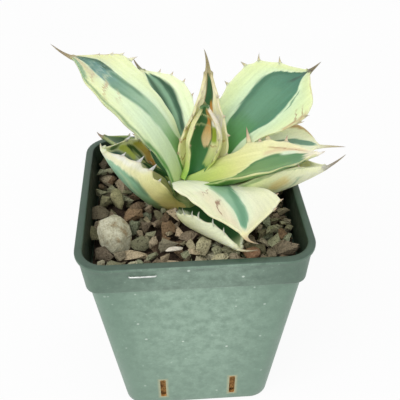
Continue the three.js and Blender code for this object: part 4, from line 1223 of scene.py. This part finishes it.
# The large pale stone's corners are shares of its half size. The others get corners by chance.
featureStones = {
    "stone_pale_large": {
        "at": (-28.3, -16.9), "size": (12.2, 15.6, 11.6), "turn": 8, "tilt": 8, "slot": "stone_pale",
        "tints": [(0.34, (130, 117, 90)), (0.46, (153, 150, 127)), (0.66, (175, 173, 152))],
        "corners": [(-1, 0.1, 0.1), (-0.86, 0.3, 0.62), (-0.36, 0.1, 1), (0.34, 0.3, 0.94), (0.86, 0.1, 0.5),
                    (1, -0.2, 0.1), (0.96, -0.5, -0.6), (0.5, -0.9, -0.8), (-0.2, -1, -0.5),
                    (-0.85, -0.55, -0.3), (-0.5, -0.75, 0.4), (0.3, -0.8, 0.34), (0.1, 1, 0.4),
                    (-0.7, 0.8, -0.2), (0.8, 0.8, -0.1), (-0.4, 0.3, -1), (0.6, 0.5, -1)],
    },
    "stone_pale_tall": {
        "at": (-28.2, 4.2), "size": (5.2, 5.4, 9), "turn": 10, "tilt": 8, "slot": "stone_green",
        "tints": [(0.3, (118, 114, 82)), (0.5, (146, 142, 106)), (0.7, (166, 160, 124))],
    },
    "stone_orange": {
        "at": (19.6, -29.5), "size": (6.4, 5.2, 4.6), "turn": 40, "tilt": 5, "slot": "stone_rust",
        "tints": [(0.3, (116, 84, 60)), (0.5, (137, 105, 79)), (0.7, (153, 123, 97))],
    },
    "stone_splinter": {
        "at": (-7.3, -24.4), "size": (6.6, 2, 2.2), "turn": 14, "tilt": 3, "slot": "stone_white",
        "tints": [(0.3, (180, 172, 156)), (0.5, (206, 200, 184)), (0.7, (226, 222, 208))],
    },
}
looseStone = {"seed": 70, "corners": 15, "wear": 0.12, "sharpWear": 0.07, "rough": 0.02, "smooth": 0.12,
              "lift": 0.28}


# A chunk: the hull of a few corners, broken rough, or with its edges worn round.
def stoneShape(chance, corners, wear=0):
    bm = bmesh.new()
    for _ in range(corners):
        point = Vector([chance.gauss(0, 1) for _ in range(3)]).normalized()
        bm.verts.new(point * mix(0.8, 1.08, chance.random()))
    made = bmesh.ops.convex_hull(bm, input=bm.verts)
    loose = [item for item in made["geom_interior"] if isinstance(item, bmesh.types.BMVert)]
    bmesh.ops.delete(bm, geom=loose, context="VERTS")
    if wear:
        bmesh.ops.bevel(bm, geom=list(bm.edges), offset=wear, segments=1, affect="EDGES",
                        profile=0.5, material=-1)
    else:
        bmesh.ops.subdivide_edges(bm, edges=list(bm.edges), cuts=1, use_grid_fill=True)
        for vert in bm.verts:
            vert.co *= mix(*grit["jitter"], chance.random())
    mesh = bpy.data.meshes.new("stoneShape")
    bm.to_mesh(mesh)
    bm.free()
    return mesh


# A stone may come closer to a leaf above it than to one beside it, and none lies under the crown.
def nearLeaf(place, radius):
    for tree in leafTrees:
        near, _, _, distance = tree.find_nearest(place, radius)
        if distance is None:
            continue
        above = near.z > place.z + 0.5
        if distance < radius * (grit["clearAbove"] if above else grit["clearBeside"]):
            return True
    return (place - crown).xy.length < grit["crownRoom"]


def cellKey(x, y):
    return round(x / grit["cell"]), round(y / grit["cell"])


def neighbours(cellOf, x, y):
    column, row = cellKey(x, y)
    for nearColumn in range(column - 2, column + 3):
        for nearRow in range(row - 2, row + 3):
            yield from cellOf.get((nearColumn, nearRow), ())


# Stones dropped one by one onto those already lying: the lowest of a few tries is kept.
def layStones():
    chance = random.Random(grit["seed"])
    cellOf = {}
    spots = [(spot["at"], spot["size"]) for spot in featureStones.values()]
    for at, size in spots + [chunk[:2] for chunk in chunks]:
        centre = Vector((*at, grit["level"] + size[2] * 0.2))
        cellOf.setdefault(cellKey(*at), []).append((centre, (size[0] + size[1]) / 4))
    laid = []
    for _ in range(grit["count"]):
        pick = chance.random()
        low, high = next((a, b) for share, a, b in grit["radii"] if pick < share)
        radius = mix(low, high, chance.random())
        best = None
        room = grit["spread"] - radius
        for _ in range(grit["tries"]):
            x = mix(-room, room, chance.random())
            y = mix(-room, room, chance.random())
            z = grit["bedTop"] + radius * 0.4
            for centre, other in neighbours(cellOf, x, y):
                gap = (centre.x - x) ** 2 + (centre.y - y) ** 2
                reach = (radius + other) * grit["overlap"]
                if gap < reach * reach:
                    z = max(z, centre.z + math.sqrt(reach * reach - gap))
            if best is None or z < best.z:
                best = Vector((x, y, z))
        if best.z > grit["level"] + grit["heap"]:
            continue
        cellOf.setdefault(cellKey(best.x, best.y), []).append((best, radius))
        if not nearLeaf(best, radius):
            laid.append((best, radius))
    return laid


def lean(chance, most):
    return mix(-most, most, chance.random())


# The pebble attribute holds each stone's place on gritColors and its lightness, more of it on the right:
# painted light on the pot's right side and painted shade on its left.
def addStone(bm, chance, shapes, centre, size, turn, tone):
    layer = bm.verts.layers.float_vector["pebble"]
    before = len(bm.verts)
    bm.from_mesh(chance.choice(shapes))
    bm.verts.ensure_lookup_table()
    fresh = bm.verts[before:]
    shape = turn.to_matrix() @ Matrix.Diagonal(size).to_3x3()
    bmesh.ops.transform(bm, matrix=shape.to_4x4(), verts=fresh)
    bmesh.ops.translate(bm, vec=centre, verts=fresh)
    # the lightness: a random share, plus painted light rising toward the pot's right
    mark = (tone, mix(chance.random(), smoothRise(50, centre.x + 20), 0.4), 0)
    for vert in fresh:
        vert[layer] = mark


def gritMesh():
    chance = random.Random(grit["seed"] + 1)
    shapes = [stoneShape(chance, grit["corners"]) for _ in range(grit["shapes"])]
    bm = bmesh.new()
    bm.verts.layers.float_vector.new("pebble")
    for at, size, heading, tone in chunks:
        centre = Vector((*at, grit["level"] + size[2] * grit["chunkLift"]))
        turn = Euler([lean(chance, 0.15), lean(chance, 0.15), math.radians(heading)])
        addStone(bm, chance, shapes, centre, Vector(size) * grit["chunkSwell"], turn, tone)
    for centre, radius in layStones():
        size = Vector((mix(1, 1.5, chance.random()), mix(0.75, 1, chance.random()),
                       mix(0.62, 0.9, chance.random()))) * radius * grit["swell"]
        turn = Euler([lean(chance, 0.5), lean(chance, 0.5), 6.3 * chance.random()])
        tone = chance.random()
        addStone(bm, chance, shapes, centre, size, turn, tone)
    bmesh.ops.recalc_face_normals(bm, faces=bm.faces)
    return bm


# With mark, each stone's own attribute picks its colour. Low are the colours near the pot's foot.
def stoneMaterial(name, stops, pitScale=0.9, pitDepth=0.0008, mark=True, rough=1.0, low=None):
    material, tree, shader = startMaterial(name, roughness=0.92)
    place = objectPlace(tree)
    cloud = grain(tree, place, 0.35, 4, 0.6)
    fine = grain(tree, place, 1.9, 6, 0.7)
    pits = cells(tree, place, pitScale)
    if mark:
        kind, tone, _ = split(tree, attribute(tree, "pebble"))
    else:
        kind, tone = cloud, fine
    color = ramp(tree, kind, stops)
    if low:
        color = blend(tree, ease(tree, split(tree, place)[2], 20.0, 40.0), ramp(tree, kind, low), color)
    # the lightness from the tone; for the grit stones it carries painted light toward the pot's right
    toneAndLight = ease(tree, tone, 0.0, 1.0, 0.74, 1.5)
    speck = ease(tree, fine, 0.3, 0.72, 1 - 0.42 * rough, 1 + 0.3 * rough)
    # painted shade in the pits, which the bump also sinks
    pitShade = ease(tree, pits, 0.08, 0.36, 1 - 0.45 * rough, 1.0)
    factor = times(tree, toneAndLight, speck, pitShade)
    scaled = tree.nodes.new("ShaderNodeVectorMath")
    scaled.operation = "SCALE"
    tree.links.new(color, scaled.inputs[0])
    tree.links.new(factor, scaled.inputs["Scale"])
    feed(tree, shader.inputs["Base Color"], scaled.outputs[0])
    shader.inputs["Specular IOR Level"].default_value = 0.2
    height = calc(tree, "ADD", times(tree, fine, 0.8), calc(tree, "MINIMUM", pits, 0.45))
    addBump(tree, shader, height, pitDepth, 0.9)
    return material


gritColors = [
    (0, (131, 108, 81)), (0.12, (113, 96, 75)), (0.22, (127, 115, 96)), (0.32, (102, 95, 75)),
    (0.42, (131, 128, 96)), (0.52, (158, 158, 126)), (0.62, (146, 154, 126)), (0.72, (172, 164, 132)),
    (0.8, (166, 149, 123)), (0.9, (154, 147, 123)), (1, (192, 188, 157)),
]
gritSkin = stoneMaterial("gritStones", gritColors)
bedFoot = pot["floor"] + 0.5
bedRows = [innerRow(z, grit["gap"]) for z in (bedFoot, 40, 72.4, grit["bedTop"])]
bed = tubSolid([(0, bedFoot, 0), *bedRows, (0, grit["bedTop"], 0)])
# the bed's top is painted dark: painted shade in the gaps between the stones; the colours near the pot's
# foot are the soil's own brown
bedShadeColors = [(0.3, (48, 38, 30)), (0.5, (62, 50, 40)), (0.7, (80, 66, 52))]
bedLowColors = [(0.3, (104, 76, 46)), (0.5, (166, 124, 74)), (0.7, (206, 164, 104))]
bedSkin = stoneMaterial("gritBed", bedShadeColors, mark=False, low=bedLowColors)
addPiece("grit_bed", bed, bedSkin, "grit", "grit_mix", sharpAngle=30)
addPiece("grit_stones", gritMesh(), gritSkin, "grit", "grit_mix", sharpAngle=0)
print("grit")


# Larger stones: a hull with worn edges, cut finer and roughened.
def looseStoneMesh(spot, seed):
    chance = random.Random(seed)
    bm = bmesh.new()
    if "corners" in spot:
        for corner in spot["corners"]:
            bm.verts.new(corner)
        bmesh.ops.convex_hull(bm, input=bm.verts)
        loose = [vert for vert in bm.verts if not vert.link_faces]
        bmesh.ops.delete(bm, geom=loose, context="VERTS")
        bmesh.ops.bevel(bm, geom=list(bm.edges), offset=looseStone["sharpWear"], segments=2, affect="EDGES",
                        profile=0.5, material=-1)
    else:
        bm.from_mesh(stoneShape(chance, looseStone["corners"], looseStone["wear"]))
    bmesh.ops.triangulate(bm, faces=bm.faces)
    bmesh.ops.subdivide_edges(bm, edges=list(bm.edges), cuts=2, use_grid_fill=True)
    for vert in bm.verts:
        vert.co *= mix(1 - looseStone["rough"], 1 + looseStone["rough"], chance.random())
    bmesh.ops.smooth_vert(bm, verts=bm.verts, factor=looseStone["smooth"],
                          use_axis_x=True, use_axis_y=True, use_axis_z=True)
    low = Vector([min(vert.co[k] for vert in bm.verts) for k in range(3)])
    high = Vector([max(vert.co[k] for vert in bm.verts) for k in range(3)])
    size = Vector(spot["size"])
    for vert in bm.verts:
        vert.co = Vector([((vert.co[k] - low[k]) / (high[k] - low[k]) - 0.5) * size[k] for k in range(3)])
    heading = Matrix.Rotation(math.radians(spot["turn"]), 3, "Z")
    tilt = Matrix.Rotation(math.radians(spot["tilt"]), 3, "Y")
    bmesh.ops.rotate(bm, verts=bm.verts, cent=(0, 0, 0), matrix=heading @ tilt)
    height = grit["level"] + size.z * looseStone["lift"] + 1
    bmesh.ops.translate(bm, verts=bm.verts, vec=(*spot["at"], height))
    bmesh.ops.recalc_face_normals(bm, faces=bm.faces)
    return bm


for index, (name, spot) in enumerate(featureStones.items()):
    skin = stoneMaterial(name + "_skin", spot["tints"], 0.7, 0.0003, mark=False, rough=0.35)
    stone = looseStoneMesh(spot, looseStone["seed"] + index)
    addPiece(name + "_rough", stone, skin, name, spot["slot"], sharpAngle=38)
print("loose stones")


# The floor, lights and camera are in metres.
studio = {
    "floorRadius": 6, "floorDrop": 0.0001, "floorGlow": 0.965, "surround": 1.03,
    "keyPlace": (-0.36, -0.42, 0.8), "keyAim": (0, 0, 0.09), "keySize": 0.5, "keyPower": 3.6,
    "cameraPlace": (-0.008852, -0.197919, 0.233659), "cameraForward": (0.04947, 0.79447, -0.60529),
    "cameraRight": (0.99773, -0.06707, -0.00648), "lens": 59.15, "sensor": 36,
}


def addFloor():
    bm = bmesh.new()
    bmesh.ops.create_circle(bm, cap_ends=True, segments=64, radius=studio["floorRadius"])
    mesh = bpy.data.meshes.new("floor")
    bm.to_mesh(mesh)
    bm.free()
    floor = bpy.data.objects.new("floor", mesh)
    floor.location.z = -studio["floorDrop"]
    scene.collection.objects.link(floor)
    material, tree, shader = startMaterial("floorPale", roughness=0.9)
    place = objectPlace(tree, 1)
    haze = grain(tree, place, 3, 2)
    shader.inputs["Specular IOR Level"].default_value = 0.0
    feed(tree, shader.inputs["Base Color"], ramp(tree, haze, [(0.3, (60, 60, 60)), (0.7, (62, 62, 62))]))
    glow = ramp(tree, haze, [(0.3, (250, 250, 250)), (0.7, (251, 251, 251))])
    feed(tree, shader.inputs["Emission Color"], glow)
    shader.inputs["Emission Strength"].default_value = studio["floorGlow"]
    mesh.materials.append(material)
    floor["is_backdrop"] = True


def addLights():
    world = bpy.data.worlds.new("studio")
    scene.world = world
    world.use_nodes = True
    background = world.node_tree.nodes["Background"]
    background.inputs["Color"].default_value = (1, 1, 1, 1)
    background.inputs["Strength"].default_value = studio["surround"]
    light = bpy.data.lights.new("key", "AREA")
    light.shape = "DISK"
    light.size = studio["keySize"]
    light.energy = studio["keyPower"]
    lamp = bpy.data.objects.new("key", light)
    lamp.location = studio["keyPlace"]
    aim = Vector(studio["keyAim"]) - lamp.location
    lamp.rotation_euler = aim.to_track_quat("-Z", "Y").to_euler()
    scene.collection.objects.link(lamp)


def addCamera():
    camera = bpy.data.objects.new("camera", bpy.data.cameras.new("camera"))
    camera.data.sensor_width = studio["sensor"]
    camera.data.lens = studio["lens"]
    camera.data.clip_start = 0.01
    forward = Vector(studio["cameraForward"]).normalized()
    right = Vector(studio["cameraRight"]).normalized()
    axes = Matrix((right, right.cross(forward), -forward)).transposed().to_4x4()
    camera.matrix_world = Matrix.Translation(studio["cameraPlace"]) @ axes
    scene.collection.objects.link(camera)
    scene.camera = camera


addFloor()
addLights()
addCamera()
print("floor, light and camera")

[[list(corner) for corner in box] for box in (cadBox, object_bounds())]
